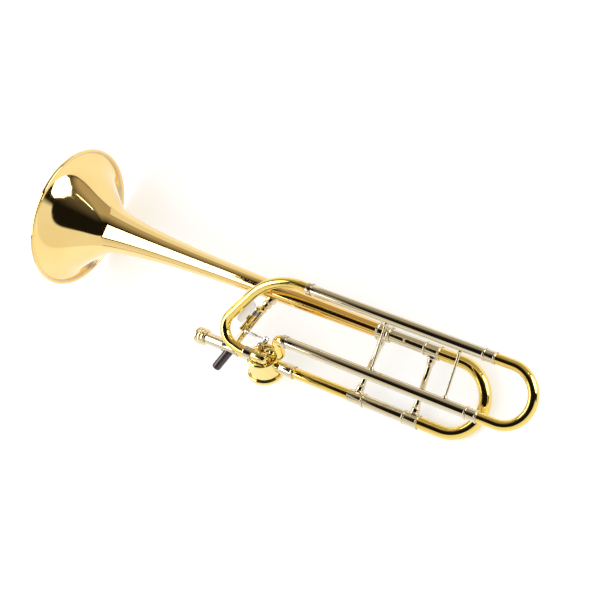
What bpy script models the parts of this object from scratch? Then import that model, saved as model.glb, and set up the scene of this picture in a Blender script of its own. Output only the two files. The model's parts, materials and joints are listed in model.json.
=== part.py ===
# Bell section of a tenor trombone with an open-wrap F attachment.
# Everything is modelled in the horn's own frame and parented to one empty that
# lays it on its bell rim and main tuning slide, as it rests on a table.
# Horn frame: origin at the middle of the bell rim, +X along the tubes to the
# tail, +Y from the gooseneck to the bell stem, +Z on the F attachment's side.

import math

import bmesh
import bpy
from mathutils import Matrix, Vector

MM = 0.001

# Clearances
GAP = 0.3 * MM
SLIDE_GAP = 0.3 * MM
BORE_GAP = 0.4 * MM

# How far cutters reach past what they cut
CUT_MARGIN = 5 * MM
BRACE_CUT_MARGIN = 20 * MM

# Facets
BELL_SIDES = 40
TUBE_SIDES = 16
SMALL_SIDES = 12
ARC_STEP = math.radians(15)

# Bell
BELL_RIM_RADIUS = 107.95 * MM
BELL_WALL = 0.9 * MM
BELL_FLARE_START = 22.4 * MM
BELL_FLARE_POWER = 0.8
BELL_CROWN = 80 * MM
BELL_CROWN_LENGTH = 80 * MM
BELL_STATIONS = 15
BELL_STATION_POWER = 2.6
RIM_WIRE_RADIUS = 1.5 * MM
RIM_CURL_WALL = 0.8 * MM

# Main tubes
TUBE_SPACING = 100 * MM
NECKPIPE_RADIUS = 8.2 * MM
NECKPIPE_WALL = 0.9 * MM
UPPER_SLEEVE_RADIUS = 9.5 * MM
LOWER_SLEEVE_RADIUS = 9.1 * MM
SLEEVE_WALL = 0.8 * MM
LEG_WALL = 0.8 * MM
BOW_RADIUS = 9.0 * MM
BOW_WALL = 0.8 * MM
MAIN_SEAM = 630 * MM
MAIN_FERRULE_LENGTH = 22 * MM
MAIN_FERRULE_WALL = 0.9 * MM
MAIN_LEG_INSERT = 55 * MM
MAIN_BOW_REACH = 114.8 * MM
UPPER_SLEEVE_SHOWN = 72 * MM
LOWER_SLEEVE_LENGTH = 66.7 * MM
FERRULE_OVERLAP = 12 * MM

# Stem collar and gooseneck
COLLAR_LENGTH = 21 * MM
COLLAR_LAP = 7 * MM
COLLAR_WALL = 1.0 * MM
SLEEVE_IN_STEM = 6 * MM
GOOSENECK_START = 440 * MM
GOOSENECK_INSET = 5 * MM
GOOSENECK_FERRULE_LENGTH = 26 * MM
GOOSENECK_RING_LENGTH = 3 * MM

# Rings
RING_LENGTH = 3 * MM
RING_HEIGHT = 1.3 * MM
RING_BEVEL = 0.5 * MM

# Slide receiver and lock nut
RECEIVER_START = 269.5 * MM
RECEIVER_END = 346.5 * MM
RECEIVER_RADIUS = 8.8 * MM
RECEIVER_NECK_RADIUS = 7.6 * MM
RECEIVER_LAP = 20 * MM
RECEIVER_NECK_END = 288 * MM
SOCKET_RADIUS = 6.4 * MM
NUT_START = 270 * MM
NUT_END = 287 * MM
NUT_RADIUS = 12.4 * MM
NUT_GROOVE_RADIUS = 10.9 * MM
NUT_GAP = 0.5 * MM
NUT_RIDGES = 3

# Valve
VALVE_X = 390 * MM
VALVE_TILT = math.radians(46.2)
DRUM_RADIUS = 22.5 * MM
DRUM_BORE = 19.0 * MM
DRUM_TOP = 12.5 * MM
DRUM_PLATE = 3 * MM
DRUM_FLANGE_TOP = -15 * MM
DRUM_FLANGE_RADIUS = 24.2 * MM
CAP_TOP = -17.3 * MM
CAP_BOTTOM = -24 * MM
CAP_RADIUS = 27.5 * MM
CAP_FLOOR = 2.4 * MM
CAP_BEVEL = 1.2 * MM
BEARING_THICKNESS = 3.2 * MM
PORT_RADIUS = 8.9 * MM
PORT_START = 362 * MM
PORT_END = 426 * MM
PORT_BORE = 6.9 * MM
ROTOR_TOP = 9.0 * MM
ROTOR_STEM_RADIUS = 2.2 * MM
STEM_HOLE_RADIUS = 2.7 * MM
OUTLET_FERRULE_END = 444 * MM
OUTLET_FERRULE_WALL = 0.8 * MM

# F tubes at the valve, above the main tubes (rise) and forward of them (front)
F_INLET_RISE = 21.5 * MM
F_INLET_FRONT = 12.2 * MM
F_INLET_START = 382 * MM
F_INLET_BOSS_START = 384 * MM
F_INLET_BOSS_END = 408 * MM
F_OUTLET_FRONT = -3 * MM
F_OUTLET_BOSS_START = 404 * MM
F_OUTLET_BOSS_END = 411 * MM
F_BOSS_RADIUS = 8.3 * MM
F_BORE = 6.4 * MM
F_BOSS_DEPTH = 14 * MM
F_BOSS_FLOOR = 3 * MM
F_PEDESTAL_HALF_WIDTH = 5.5 * MM
F_PEDESTAL_INSET = 1.5 * MM
F_RISER_X = 422 * MM

# F attachment loop
F_UPPER_Y = 25.7 * MM
F_LOWER_Y = -56.4 * MM
F_PLANE_Z = 45.4 * MM
F_SLEEVE_RADIUS = 8.1 * MM
F_BOW_RADIUS = 7.6 * MM
F_TUBE_WALL = 0.8 * MM
F_SEAM = 734.5 * MM
F_FERRULE_LENGTH = 16 * MM
F_FERRULE_WALL = 0.7 * MM
F_FERRULE_OVERLAP = 9 * MM
F_LEG_INSERT = 150 * MM
F_BOW_REACH = 90.8 * MM
F_UPPER_START = 452 * MM
F_LOWER_START = 438 * MM
F_JOINT_LENGTH = 8 * MM
F_JOINT_WALL = 0.8 * MM
CROOK_FERRULE_START = 368 * MM
CROOK_FAR_X = 387.8 * MM
CROOK_TURN = (308 * MM, -82 * MM, 24.2 * MM)
CROOK_LEAD = 8 * MM
CROOK_FERRULE_LIP = 1.6 * MM
CROOK_FERRULE_STOP = 3 * MM
CROOK_BENDS = (95 * MM, 26 * MM, 30 * MM)

# Rear brace, from the receiver to the bell stem, and the hand rest beyond it
BRACE_FOOT_X = 332 * MM
BRACE_HEAD_X = 377.6 * MM
REAR_BRACE_RADIUS = 5.0 * MM
BRACE_CUP_RADIUS = 7.0 * MM
BRACE_CUP_LENGTH = 9 * MM
BRACE_FLANGE_RADIUS = 8.5 * MM
BRACE_FLANGE_LENGTH = 4 * MM
HAND_REST_RADIUS = 6.75 * MM
HAND_REST_END = 41 * MM
PATCH_START = 353 * MM
PATCH_END = 415 * MM
PATCH_WIDEST = 0.4
PATCH_HALF_ANGLE = math.radians(62)
PATCH_WALL = 0.8 * MM

# Thumb lever, measured along the rear brace, across it and above it
PIVOT_ACROSS = 1.0 * MM
PIVOT_ABOVE = 12.5 * MM
PIVOT_ROD_RADIUS = 1.6 * MM
PIVOT_START = 35 * MM
PIVOT_END = 77.5 * MM
EAR_THICKNESS = 3 * MM
EAR_HALF_WIDTH = 4.2 * MM
BARREL_RADIUS = 3.6 * MM
BARREL_START = 39.2 * MM
BARREL_END = 61.5 * MM
LEVER_BALL_RADIUS = 2.2 * MM
LEVER_BALL_ACROSS = -12.4 * MM
LEVER_SWING = math.radians(45)
LEVER_ARM_OFFSET = 4.4 * MM
LEVER_ARM_THICKNESS = 2.4 * MM
LEVER_ARM_HALF_WIDTH = 2.2 * MM
PLATE_START = 42 * MM
PLATE_END = 79 * MM
PLATE_ACROSS = 11 * MM
PLATE_ABOVE = 17.2 * MM
PLATE_HALF_WIDTH = 6.2 * MM
PLATE_THICKNESS = 1.5 * MM
PLATE_DISH = 1.6 * MM
PLATE_ARM_AT = 52 * MM
SPRING_WIRE_RADIUS = 0.45 * MM
SPRING_RADIUS = 3.1 * MM
SPRING_TURNS = 5
SPRING_START = 63.0 * MM
SPRING_PITCH = 1.5 * MM
SPRING_POINTS_PER_TURN = 10

# Rotor stop arm and linkage
ARM_LENGTH = 9.7 * MM
ARM_HALF_SWING = math.radians(30)
ARM_BOTTOM = 32.6 * MM
ARM_THICKNESS = 2.4 * MM
ARM_HALF_WIDTH = 2.4 * MM
ARM_BALL_RISE = 39 * MM
HUB_BOTTOM = 12.9 * MM
HUB_RADIUS = 3.3 * MM
HUB_HEAD_RADIUS = 4.6 * MM
HUB_HEAD_BOTTOM = 30 * MM
LUG_BOTTOM = 16.4 * MM
LUG_THICKNESS = 3.6 * MM
LUG_LENGTH = 12 * MM
LUG_HALF_WIDTH = 2 * MM
BUMPER_CIRCLE = 10.3 * MM
BUMPER_RADIUS = 2.2 * MM
BUMPER_HEIGHT = 6.6 * MM
STOP_PLATE_THICKNESS = 1.2 * MM
STOP_PLATE_HALF_WIDTH = 2.6 * MM
BALL_STUD_RADIUS = 0.9 * MM
SOCKET_WALL = 1.2 * MM
SOCKET_MOUTH_RADIUS = 2.1 * MM
OPEN_PIVOT_GAP = 1.7 * MM
LINK_ROD_RADIUS = 1.2 * MM
LINK_SLEEVE_RADIUS = 2.1 * MM
LINK_SLEEVE_LENGTH = 14 * MM
SCREW_HEAD_RADIUS = 3.4 * MM
SCREW_HEAD_HEIGHT = 1.6 * MM

# Braces between the tubes
MAIN_BRACE_TOP_INSET = 10.5 * MM
MAIN_BRACE_FOOT_INSET = 14 * MM
MAIN_BRACE_RADIUS = 4.2 * MM
SLIDE_BRACE_RADIUS = 4.2 * MM
BRACE_SOCKET_RADIUS = 6.2 * MM
BRACE_SOCKET_LENGTH = 13 * MM
F_BRACE_FRONT_X = 580 * MM
F_BRACE_BACK_INSET = 37.5 * MM
F_BRACE_RADIUS = 1.9 * MM
F_BRACE_FOOT_RADIUS = 3.6 * MM
F_BRACE_FOOT_LENGTH = 3.5 * MM
F_STAY_INSET = 6.5 * MM

# Rest on a table: roll towards the gooseneck at which the horn balances
REST_ROLL = math.radians(6.3)

X_AXIS = Vector((1, 0, 0))
Z_AXIS = Vector((0, 0, 1))


# Derived positions

BELL_STEM_END = MAIN_SEAM - UPPER_SLEEVE_SHOWN
STEM_END_RADIUS = UPPER_SLEEVE_RADIUS + GAP + BELL_WALL
COLLAR_START = BELL_STEM_END - COLLAR_LAP
COLLAR_END = COLLAR_START + COLLAR_LENGTH
GOOSENECK_FERRULE_END = MAIN_SEAM - LOWER_SLEEVE_LENGTH - GAP
GOOSENECK_FERRULE_START = GOOSENECK_FERRULE_END - GOOSENECK_FERRULE_LENGTH
GOOSENECK_END = GOOSENECK_FERRULE_END - GOOSENECK_INSET
MAIN_BRACE_TOP_X = COLLAR_END - MAIN_BRACE_TOP_INSET
MAIN_BRACE_FOOT_X = GOOSENECK_FERRULE_END - MAIN_BRACE_FOOT_INSET
SLIDE_BRACE_X = MAIN_SEAM + MAIN_FERRULE_LENGTH / 2
MAIN_BOW_END = MAIN_SEAM + MAIN_BOW_REACH
F_BOW_END = F_SEAM + F_BOW_REACH
F_BRACE_BACK_X = F_SEAM - F_BRACE_BACK_INSET
F_STAY_X = COLLAR_END - F_STAY_INSET


def bell_radius(x):
    """Outer radius of the bell at x, a Bessel horn from rim to stem with a fuller flare by the rim."""
    near = BELL_FLARE_START ** -BELL_FLARE_POWER
    far = (BELL_STEM_END + BELL_FLARE_START) ** -BELL_FLARE_POWER
    here = (x + BELL_FLARE_START) ** -BELL_FLARE_POWER
    share = min(x / BELL_CROWN_LENGTH, 1)
    crown = BELL_CROWN * share * (1 - share) ** 2
    return STEM_END_RADIUS + crown + (BELL_RIM_RADIUS - STEM_END_RADIUS) * (here - far) / (near - far)


VALVE_UP = Vector((0, math.cos(VALVE_TILT), math.sin(VALVE_TILT)))
VALVE_FRONT = Vector((0, -math.sin(VALVE_TILT), math.cos(VALVE_TILT)))
NECKPIPE = Vector((0, -TUBE_SPACING, 0))
F_UPPER = Vector((0, F_UPPER_Y, F_PLANE_Z))
F_LOWER = Vector((0, F_LOWER_Y, F_PLANE_Z))
BRACE_FOOT = NECKPIPE + BRACE_FOOT_X * X_AXIS
BRACE_HEAD = BRACE_HEAD_X * X_AXIS
BRACE_ALONG = (BRACE_HEAD - BRACE_FOOT).normalized()
BRACE_ACROSS = Z_AXIS.cross(BRACE_ALONG)
MAIN_FERRULE_END = MAIN_SEAM + MAIN_FERRULE_LENGTH
MAIN_BOW_START = MAIN_FERRULE_END - FERRULE_OVERLAP
F_FERRULE_END = F_SEAM + F_FERRULE_LENGTH
F_BOW_START = F_FERRULE_END - F_FERRULE_OVERLAP
SOCKET_OPEN_RADIUS = LEVER_BALL_RADIUS + OPEN_PIVOT_GAP
BUMPER_ANGLE = ARM_HALF_SWING + math.asin((LUG_HALF_WIDTH + BUMPER_RADIUS + GAP) / BUMPER_CIRCLE)


def at_valve(x, rise, front):
    """Point at x, rise above the main tube along the valve's axis and front of it."""
    return NECKPIPE + x * X_AXIS + rise * VALVE_UP + front * VALVE_FRONT


def at_brace(along, across, above):
    """Point measured from the foot of the rear brace."""
    return BRACE_FOOT + along * BRACE_ALONG + across * BRACE_ACROSS + above * Z_AXIS


def arm_direction(angle):
    """Direction at an angle round the valve's axis, from its back towards +X."""
    return math.sin(angle) * X_AXIS - math.cos(angle) * VALVE_FRONT


VALVE_CENTRE = at_valve(VALVE_X, 0, 0)
ARM_BALL = at_valve(VALVE_X, ARM_BALL_RISE, 0) + ARM_LENGTH * arm_direction(ARM_HALF_SWING)


def lever_ball_position():
    """Ball on the lever arm, so that the link lies along X at rest."""
    along = (ARM_BALL.y - BRACE_FOOT.y - LEVER_BALL_ACROSS * BRACE_ACROSS.y) / BRACE_ALONG.y
    return at_brace(along, LEVER_BALL_ACROSS, ARM_BALL.z)


LEVER_BALL = lever_ball_position()
LEVER_BALL_ALONG = (LEVER_BALL - BRACE_FOOT).dot(BRACE_ALONG)
PIVOT_POINT = at_brace(LEVER_BALL_ALONG, PIVOT_ACROSS, PIVOT_ABOVE)


# Scene and materials

for old in list(bpy.data.objects):
    bpy.data.objects.remove(old)


def material(name, colour, metallic, roughness):
    made = bpy.data.materials.new(name)
    made.use_nodes = True
    shader = made.node_tree.nodes["Principled BSDF"]
    shader.inputs["Base Color"].default_value = (*colour, 1)
    shader.inputs["Metallic"].default_value = metallic
    shader.inputs["Roughness"].default_value = roughness
    made.diffuse_color = (*colour, 1)
    return made


BRASS = material("lacquered_brass", (0.85, 0.58, 0.18), 1, 0.15)
NICKEL = material("nickel_silver", (0.72, 0.69, 0.62), 1, 0.18)
STEEL = material("polished_steel", (0.62, 0.63, 0.65), 1, 0.2)
SPRING_STEEL = material("spring_steel", (0.25, 0.25, 0.28), 1, 0.3)
BLACK = material("black_hand_rest", (0.05, 0.035, 0.04), 0, 0.35)
CORK = material("bumper_cork", (0.45, 0.28, 0.15), 0, 0.9)


def empty(name, parent, location=None):
    made = bpy.data.objects.new(name, None)
    made.empty_display_size = 0.02
    made.location = location or Vector((0, 0, 0))
    made.parent = parent
    bpy.context.collection.objects.link(made)
    return made


HORN = empty("horn", None)
MAIN_SLIDE = empty("main_slide", HORN, MAIN_SEAM * X_AXIS)
F_SLIDE = empty("f_slide", HORN, F_UPPER + F_SEAM * X_AXIS)
LOCK_NUT = empty("lock_nut_axis", HORN, NECKPIPE + NUT_START * X_AXIS)
ROTOR = empty("rotor_axis", HORN, VALVE_CENTRE)
LEVER = empty("lever_axis", HORN, PIVOT_POINT)
LINK = empty("link_ball", HORN, LEVER_BALL)


# Shape helpers

def finish(name, bm, look, parent, matrix=None, smooth=True):
    """Turn a bmesh, built in place or at the matrix, into a parented object."""
    bmesh.ops.remove_doubles(bm, verts=bm.verts, dist=1e-7)
    bmesh.ops.recalc_face_normals(bm, faces=bm.faces)
    mesh = bpy.data.meshes.new(name)
    bm.to_mesh(mesh)
    bm.free()
    if smooth:
        mesh.shade_smooth()
        mesh.set_sharp_from_angle(angle=math.radians(35))
    made = bpy.data.objects.new(name, mesh)
    if look:
        mesh.materials.append(look)
    bpy.context.collection.objects.link(made)
    made.parent = parent
    place = matrix or Matrix.Translation(parent.location)
    made.matrix_local = Matrix.Translation(-parent.location) @ place if parent is not HORN else place
    if matrix is None:
        mesh.transform(Matrix.Translation(-parent.location))
    return made


def axis_matrix(origin, axis):
    """Place a shape made about Z so that Z lies along the axis."""
    turn = Vector(axis).to_track_quat("Z", "Y").to_matrix().to_4x4()
    return Matrix.Translation(origin) @ turn


def spin_profile(profile, sides, closed):
    bm = bmesh.new()
    verts = [bm.verts.new((radius, 0, height)) for radius, height in profile]
    edges = [bm.edges.new(pair) for pair in zip(verts, verts[1:])]
    if closed:
        edges.append(bm.edges.new((verts[-1], verts[0])))
    bmesh.ops.spin(bm, geom=verts + edges, cent=(0, 0, 0), axis=(0, 0, 1),
                   angle=2 * math.pi, steps=sides, use_merge=True)
    bmesh.ops.remove_doubles(bm, verts=bm.verts, dist=1e-7)
    return bm


def lathe(name, profile, origin, axis, look, parent, sides=TUBE_SIDES, closed=True):
    """Turned piece: the profile holds (radius, height along the axis) pairs."""
    bm = spin_profile(profile, sides, closed)
    return finish(name, bm, look, parent, axis_matrix(origin, axis))


def tube(name, line, start, end, outer, inner, look, parent, sides=TUBE_SIDES):
    """Straight tube along X, on the line through the given point."""
    length = end - start
    profile = [(inner, 0), (outer, 0), (outer, length), (inner, length)]
    return lathe(name, profile, line + start * X_AXIS, X_AXIS, look, parent, sides)


def bead_profile(inner, outer, height, start, length, bevel):
    """Ring that stands up from a sleeve, with bevelled edges."""
    top = outer + height
    return [(inner, start), (top - bevel, start), (top, start + bevel),
            (top, start + length - bevel), (top - bevel, start + length), (inner, start + length)]


def end_ring(name, line, end, radius, look, parent):
    """Separate ring round the open end of a sleeve."""
    profile = bead_profile(radius + GAP, radius, RING_HEIGHT, 0, RING_LENGTH, RING_BEVEL)
    return lathe(name, profile, line + (end - RING_LENGTH) * X_AXIS, X_AXIS, look, parent)


def fillet_path(points, radii):
    """Route with a round bend of the given radius at each inner point."""
    route = [Vector(points[0])]
    for index, radius in enumerate(radii, start=1):
        before, corner, after = (Vector(points[index + k]) for k in (-1, 0, 1))
        arrive = (corner - before).normalized()
        leave = (after - corner).normalized()
        turn = arrive.angle(leave)
        reach = radius * math.tan(turn / 2)
        start = corner - arrive * reach
        side = (leave - arrive * arrive.dot(leave)).normalized()
        steps = max(2, math.ceil(turn / ARC_STEP))
        for step in range(steps + 1):
            angle = turn * step / steps
            route.append(start + arrive * radius * math.sin(angle)
                         + side * radius * (1 - math.cos(angle)))
    route.append(Vector(points[-1]))
    return route


def path_frames(route, upright):
    """Frames along the route that turn as little as possible."""
    tangents = []
    for index, point in enumerate(route):
        before = route[max(index - 1, 0)]
        after = route[min(index + 1, len(route) - 1)]
        tangents.append((after - before).normalized())
    frames = []
    normal = (upright - tangents[0] * upright.dot(tangents[0])).normalized()
    for point, tangent in zip(route, tangents):
        normal = (normal - tangent * normal.dot(tangent)).normalized()
        frames.append((point, normal, tangent.cross(normal)))
    return frames


def swept_tube(name, route, outer, inner, look, parent, sides=TUBE_SIDES, upright=Z_AXIS):
    """Hollow tube along the route, open at both ends."""
    bm = bmesh.new()
    rings = []
    for point, normal, binormal in path_frames(route, upright):
        for radius in (outer, inner):
            ring = []
            for side in range(sides):
                angle = 2 * math.pi * side / sides
                offset = radius * (math.cos(angle) * normal + math.sin(angle) * binormal)
                ring.append(bm.verts.new(point + offset))
            rings.append(ring)
    loops = rings[0::2] + rings[1::2][::-1]
    for ring, following in zip(loops, loops[1:] + loops[:1]):
        for side in range(sides):
            other = (side + 1) % sides
            bm.faces.new((ring[side], ring[other], following[other], following[side]))
    return finish(name, bm, look, parent)


def prism(name, outline, origin, axes, thickness, look, parent):
    """Flat plate: the outline in the first two axes, extruded along the third."""
    first, second, third = axes
    bm = bmesh.new()
    verts = [bm.verts.new(origin + u * first + v * second) for u, v in outline]
    face = bm.faces.new(verts)
    made = bmesh.ops.extrude_face_region(bm, geom=[face])
    moved = [item for item in made["geom"] if isinstance(item, bmesh.types.BMVert)]
    bmesh.ops.translate(bm, verts=moved, vec=thickness * third)
    return finish(name, bm, look, parent)


def slot_outline(length, half_width, steps=6):
    """Round-ended bar from the origin to (length, 0)."""
    outline = []
    for centre, start in ((0, math.pi / 2), (length, -math.pi / 2)):
        for step in range(steps + 1):
            angle = start + math.pi * step / steps
            outline.append((centre + half_width * math.cos(angle), half_width * math.sin(angle)))
    return outline


def ball(name, centre, radius, look, parent, sides=10, rings=6):
    bm = bmesh.new()
    bmesh.ops.create_uvsphere(bm, u_segments=sides, v_segments=rings, radius=radius)
    return finish(name, bm, look, parent, Matrix.Translation(centre))


def boolean(target, tool, operation):
    """Apply an exact Boolean and keep the result in the target's mesh."""
    tool.hide_render = True
    tool.display_type = "WIRE"
    modifier = target.modifiers.new(tool.name, "BOOLEAN")
    modifier.operation = operation
    modifier.solver = "EXACT"
    modifier.object = tool


def cut(target, tool):
    boolean(target, tool, "DIFFERENCE")


def join(target, tool):
    boolean(target, tool, "UNION")


def cut_tube(target, line, radius, start, end, sides=TUBE_SIDES):
    """Saddle: clear the tube along X that the piece is soldered to."""
    tool = lathe(target.name + "_saddle", [(0, 0), (radius + GAP, 0), (radius + GAP, end - start),
                                           (0, end - start)],
                 line + start * X_AXIS, X_AXIS, None, HORN, sides, closed=False)
    cut(target, tool)


# Bell and its rim

def bell_stations():
    """Stations along the bell, close together where it flares."""
    return [BELL_STEM_END * (step / BELL_STATIONS) ** BELL_STATION_POWER
            for step in range(1, BELL_STATIONS + 1)]


def build_bell():
    """Hammered bell, its edge curled over the rim wire."""
    curl_inner = RIM_WIRE_RADIUS + GAP
    curl_outer = curl_inner + RIM_CURL_WALL
    centre_radius = BELL_RIM_RADIUS - curl_outer
    centre_x = curl_outer
    first_turn = math.radians(-25)
    last_turn = math.radians(255)
    steps = 7

    def curl(radius, step):
        angle = first_turn + (last_turn - first_turn) * step / steps
        return (centre_radius - radius * math.cos(angle + math.radians(65)),
                centre_x - radius * math.sin(angle + math.radians(65)))

    stations = [x for x in bell_stations() if x > centre_x + curl_outer]
    outside = [(bell_radius(x), x) for x in stations]
    inside = [(bell_radius(x) - BELL_WALL, x) for x in reversed(stations)]
    outer_curl = [curl(curl_outer, step) for step in range(steps + 1)]
    inner_curl = [curl(curl_inner, step) for step in reversed(range(steps + 1))]
    profile = outside + inside + outer_curl + inner_curl
    lathe("bell", profile, Vector((0, 0, 0)), X_AXIS, BRASS, HORN, BELL_SIDES)
    wire = []
    for step in range(6):
        angle = math.radians(60 * step)
        wire.append((centre_radius + RIM_WIRE_RADIUS * math.cos(angle),
                     centre_x + RIM_WIRE_RADIUS * math.sin(angle)))
    lathe("bell_rim_wire", wire, Vector((0, 0, 0)), X_AXIS, BRASS, HORN, BELL_SIDES)


def build_stem_patch():
    """Pointed nickel shield on the stem, under the rear brace."""
    rows = 10
    columns = 12
    face_angle = math.atan2(-BRACE_ALONG.y, 0)
    bm = bmesh.new()
    layers = []
    for lift in (GAP, GAP + PATCH_WALL):
        grid = []
        for row in range(rows + 1):
            share = row / rows
            x = PATCH_START + (PATCH_END - PATCH_START) * share
            rising = share / PATCH_WIDEST if share < PATCH_WIDEST else (1 - share) / (1 - PATCH_WIDEST)
            half = PATCH_HALF_ANGLE * (0.06 + 0.94 * math.sin(rising * math.pi / 2))
            line = []
            for column in range(columns + 1):
                angle = face_angle + half * (2 * column / columns - 1)
                radius = bell_radius(x) + lift
                line.append(bm.verts.new((x, radius * math.cos(angle), radius * math.sin(angle))))
            grid.append(line)
        layers.append(grid)
    under, over = layers
    for grid in layers:
        for row in range(rows):
            for column in range(columns):
                bm.faces.new((grid[row][column], grid[row][column + 1],
                              grid[row + 1][column + 1], grid[row + 1][column]))
    edge_steps = [(0, c, 0, c + 1) for c in range(columns)]
    edge_steps += [(rows, c, rows, c + 1) for c in range(columns)]
    edge_steps += [(r, 0, r + 1, 0) for r in range(rows)]
    edge_steps += [(r, columns, r + 1, columns) for r in range(rows)]
    for r0, c0, r1, c1 in edge_steps:
        bm.faces.new((under[r0][c0], under[r1][c1], over[r1][c1], over[r0][c0]))
    finish("stem_patch", bm, NICKEL, HORN)


# Main tuning slide

def build_main_sleeves():
    collar_bore = bell_radius(COLLAR_START) + GAP
    collar_outer = collar_bore + COLLAR_WALL
    sleeve_bore = UPPER_SLEEVE_RADIUS + GAP
    step = BELL_STEM_END + GAP - COLLAR_START
    length = COLLAR_END - COLLAR_START
    ring = collar_outer + RING_HEIGHT
    tail = sleeve_bore + COLLAR_WALL
    profile = [(collar_bore, 0), (ring, 0), (ring, RING_LENGTH), (collar_outer, RING_LENGTH + RING_BEVEL),
               (collar_outer, step + 2 * RING_LENGTH), (tail, length - RING_LENGTH - RING_BEVEL),
               (tail + RING_HEIGHT, length - RING_LENGTH), (tail + RING_HEIGHT, length),
               (sleeve_bore, length), (sleeve_bore, step), (collar_bore, step)]
    lathe("stem_collar", profile, COLLAR_START * X_AXIS, X_AXIS, NICKEL, HORN)
    centre = Vector((0, 0, 0))
    tube("main_upper_sleeve", centre, BELL_STEM_END - SLEEVE_IN_STEM, MAIN_SEAM,
         UPPER_SLEEVE_RADIUS, UPPER_SLEEVE_RADIUS - SLEEVE_WALL, NICKEL, HORN)
    end_ring("main_upper_sleeve_ring", centre, MAIN_SEAM, UPPER_SLEEVE_RADIUS, NICKEL, HORN)
    tube("main_lower_sleeve", NECKPIPE, GOOSENECK_FERRULE_END + GAP, MAIN_SEAM,
         LOWER_SLEEVE_RADIUS, LOWER_SLEEVE_RADIUS - SLEEVE_WALL, NICKEL, HORN)
    end_ring("main_lower_sleeve_ring", NECKPIPE, MAIN_SEAM, LOWER_SLEEVE_RADIUS, NICKEL, HORN)


def slide_ferrule(name, line, seam, length, joint, leg_radius, bow_radius, wall, parent):
    """Ferrule that joins an inner leg to the bow, with a bead at the bow's end."""
    outer = bow_radius + GAP + wall
    joint_at = joint - seam - GAP
    end = length - GAP
    bead = RING_LENGTH
    profile = [(leg_radius + GAP, 0), (outer, 0), (outer, end - bead), (outer + wall, end - bead + RING_BEVEL),
               (outer + wall, end), (bow_radius + GAP, end), (bow_radius + GAP, joint_at),
               (leg_radius + GAP, joint_at)]
    lathe(name, profile, line + (seam + GAP) * X_AXIS, X_AXIS, NICKEL, parent)


def build_bow(name, first, second, start, end, radius, wall, parent):
    """Half circle between two lines, with straight ends."""
    bend = (first - second).length / 2
    centre_x = end - radius - bend
    middle = (first + second) / 2
    outward = (first - second).normalized()
    route = [first + start * X_AXIS]
    steps = round(math.pi / ARC_STEP)
    for step in range(steps + 1):
        angle = math.pi * step / steps
        round_bend = math.cos(angle) * outward + math.sin(angle) * X_AXIS
        route.append(middle + centre_x * X_AXIS + bend * round_bend)
    route.append(second + start * X_AXIS)
    swept_tube(name, route, radius, radius - wall, BRASS, parent)


def build_main_slide():
    upper_leg = UPPER_SLEEVE_RADIUS - SLEEVE_WALL - SLIDE_GAP
    lower_leg = LOWER_SLEEVE_RADIUS - SLEEVE_WALL - SLIDE_GAP
    centre = Vector((0, 0, 0))
    for name, line, leg in (("upper", centre, upper_leg), ("lower", NECKPIPE, lower_leg)):
        tube("main_inner_leg_" + name, line, MAIN_SEAM - MAIN_LEG_INSERT, MAIN_BOW_START - GAP,
             leg, leg - LEG_WALL, NICKEL, MAIN_SLIDE)
        slide_ferrule("main_bow_ferrule_" + name, line, MAIN_SEAM, MAIN_FERRULE_LENGTH, MAIN_BOW_START,
                      leg, BOW_RADIUS, MAIN_FERRULE_WALL, MAIN_SLIDE)
    build_bow("main_tuning_bow", centre, NECKPIPE, MAIN_BOW_START, MAIN_BOW_END,
              BOW_RADIUS, BOW_WALL, MAIN_SLIDE)
    ferrule = BOW_RADIUS + GAP + MAIN_FERRULE_WALL
    brace = tapered_brace("main_slide_brace", SLIDE_BRACE_X * X_AXIS,
                          SLIDE_BRACE_X * X_AXIS + NECKPIPE, SLIDE_BRACE_RADIUS,
                          BRACE_SOCKET_RADIUS, BRACE_SOCKET_LENGTH, ferrule, MAIN_SLIDE)
    for line in (centre, NECKPIPE):
        cut_tube(brace, line, ferrule, MAIN_SEAM, MAIN_FERRULE_END)


def tapered_brace(name, first, second, radius, foot_radius, foot_length, reach, parent):
    """Round brace between two tubes, its ends swelling into sockets."""
    length = (second - first).length
    near = reach / 2
    shoulder = reach + foot_length
    profile = [(0, near), (foot_radius, near), (foot_radius, reach + foot_length * 0.35),
               (radius * 1.15, shoulder - foot_length * 0.3), (radius, shoulder),
               (radius, length - shoulder), (radius * 1.15, length - shoulder + foot_length * 0.3),
               (foot_radius, length - reach - foot_length * 0.35), (foot_radius, length - near),
               (0, length - near)]
    return lathe(name, profile, first, second - first, NICKEL, parent, 16, closed=False)


# Neckpipe, receiver and gooseneck

def build_neckpipe():
    inner = NECKPIPE_RADIUS - NECKPIPE_WALL
    tube("neckpipe", NECKPIPE, RECEIVER_END - RECEIVER_LAP, PORT_START - GAP, inner + NECKPIPE_WALL, inner,
         BRASS, HORN)
    bore = NECKPIPE_RADIUS + GAP
    neck = RECEIVER_NECK_END - RECEIVER_START
    length = RECEIVER_END - RECEIVER_START
    seat = length - RECEIVER_LAP - GAP
    profile = [(SOCKET_RADIUS, 0), (RECEIVER_NECK_RADIUS, 0), (RECEIVER_NECK_RADIUS, neck),
               (RECEIVER_RADIUS + GAP, neck), (RECEIVER_RADIUS + GAP, length - RING_LENGTH),
               (RECEIVER_RADIUS + RING_BEVEL, length), (bore, length), (bore, seat), (SOCKET_RADIUS, seat)]
    lathe("slide_receiver", profile, NECKPIPE + RECEIVER_START * X_AXIS, X_AXIS, NICKEL, HORN)


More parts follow.
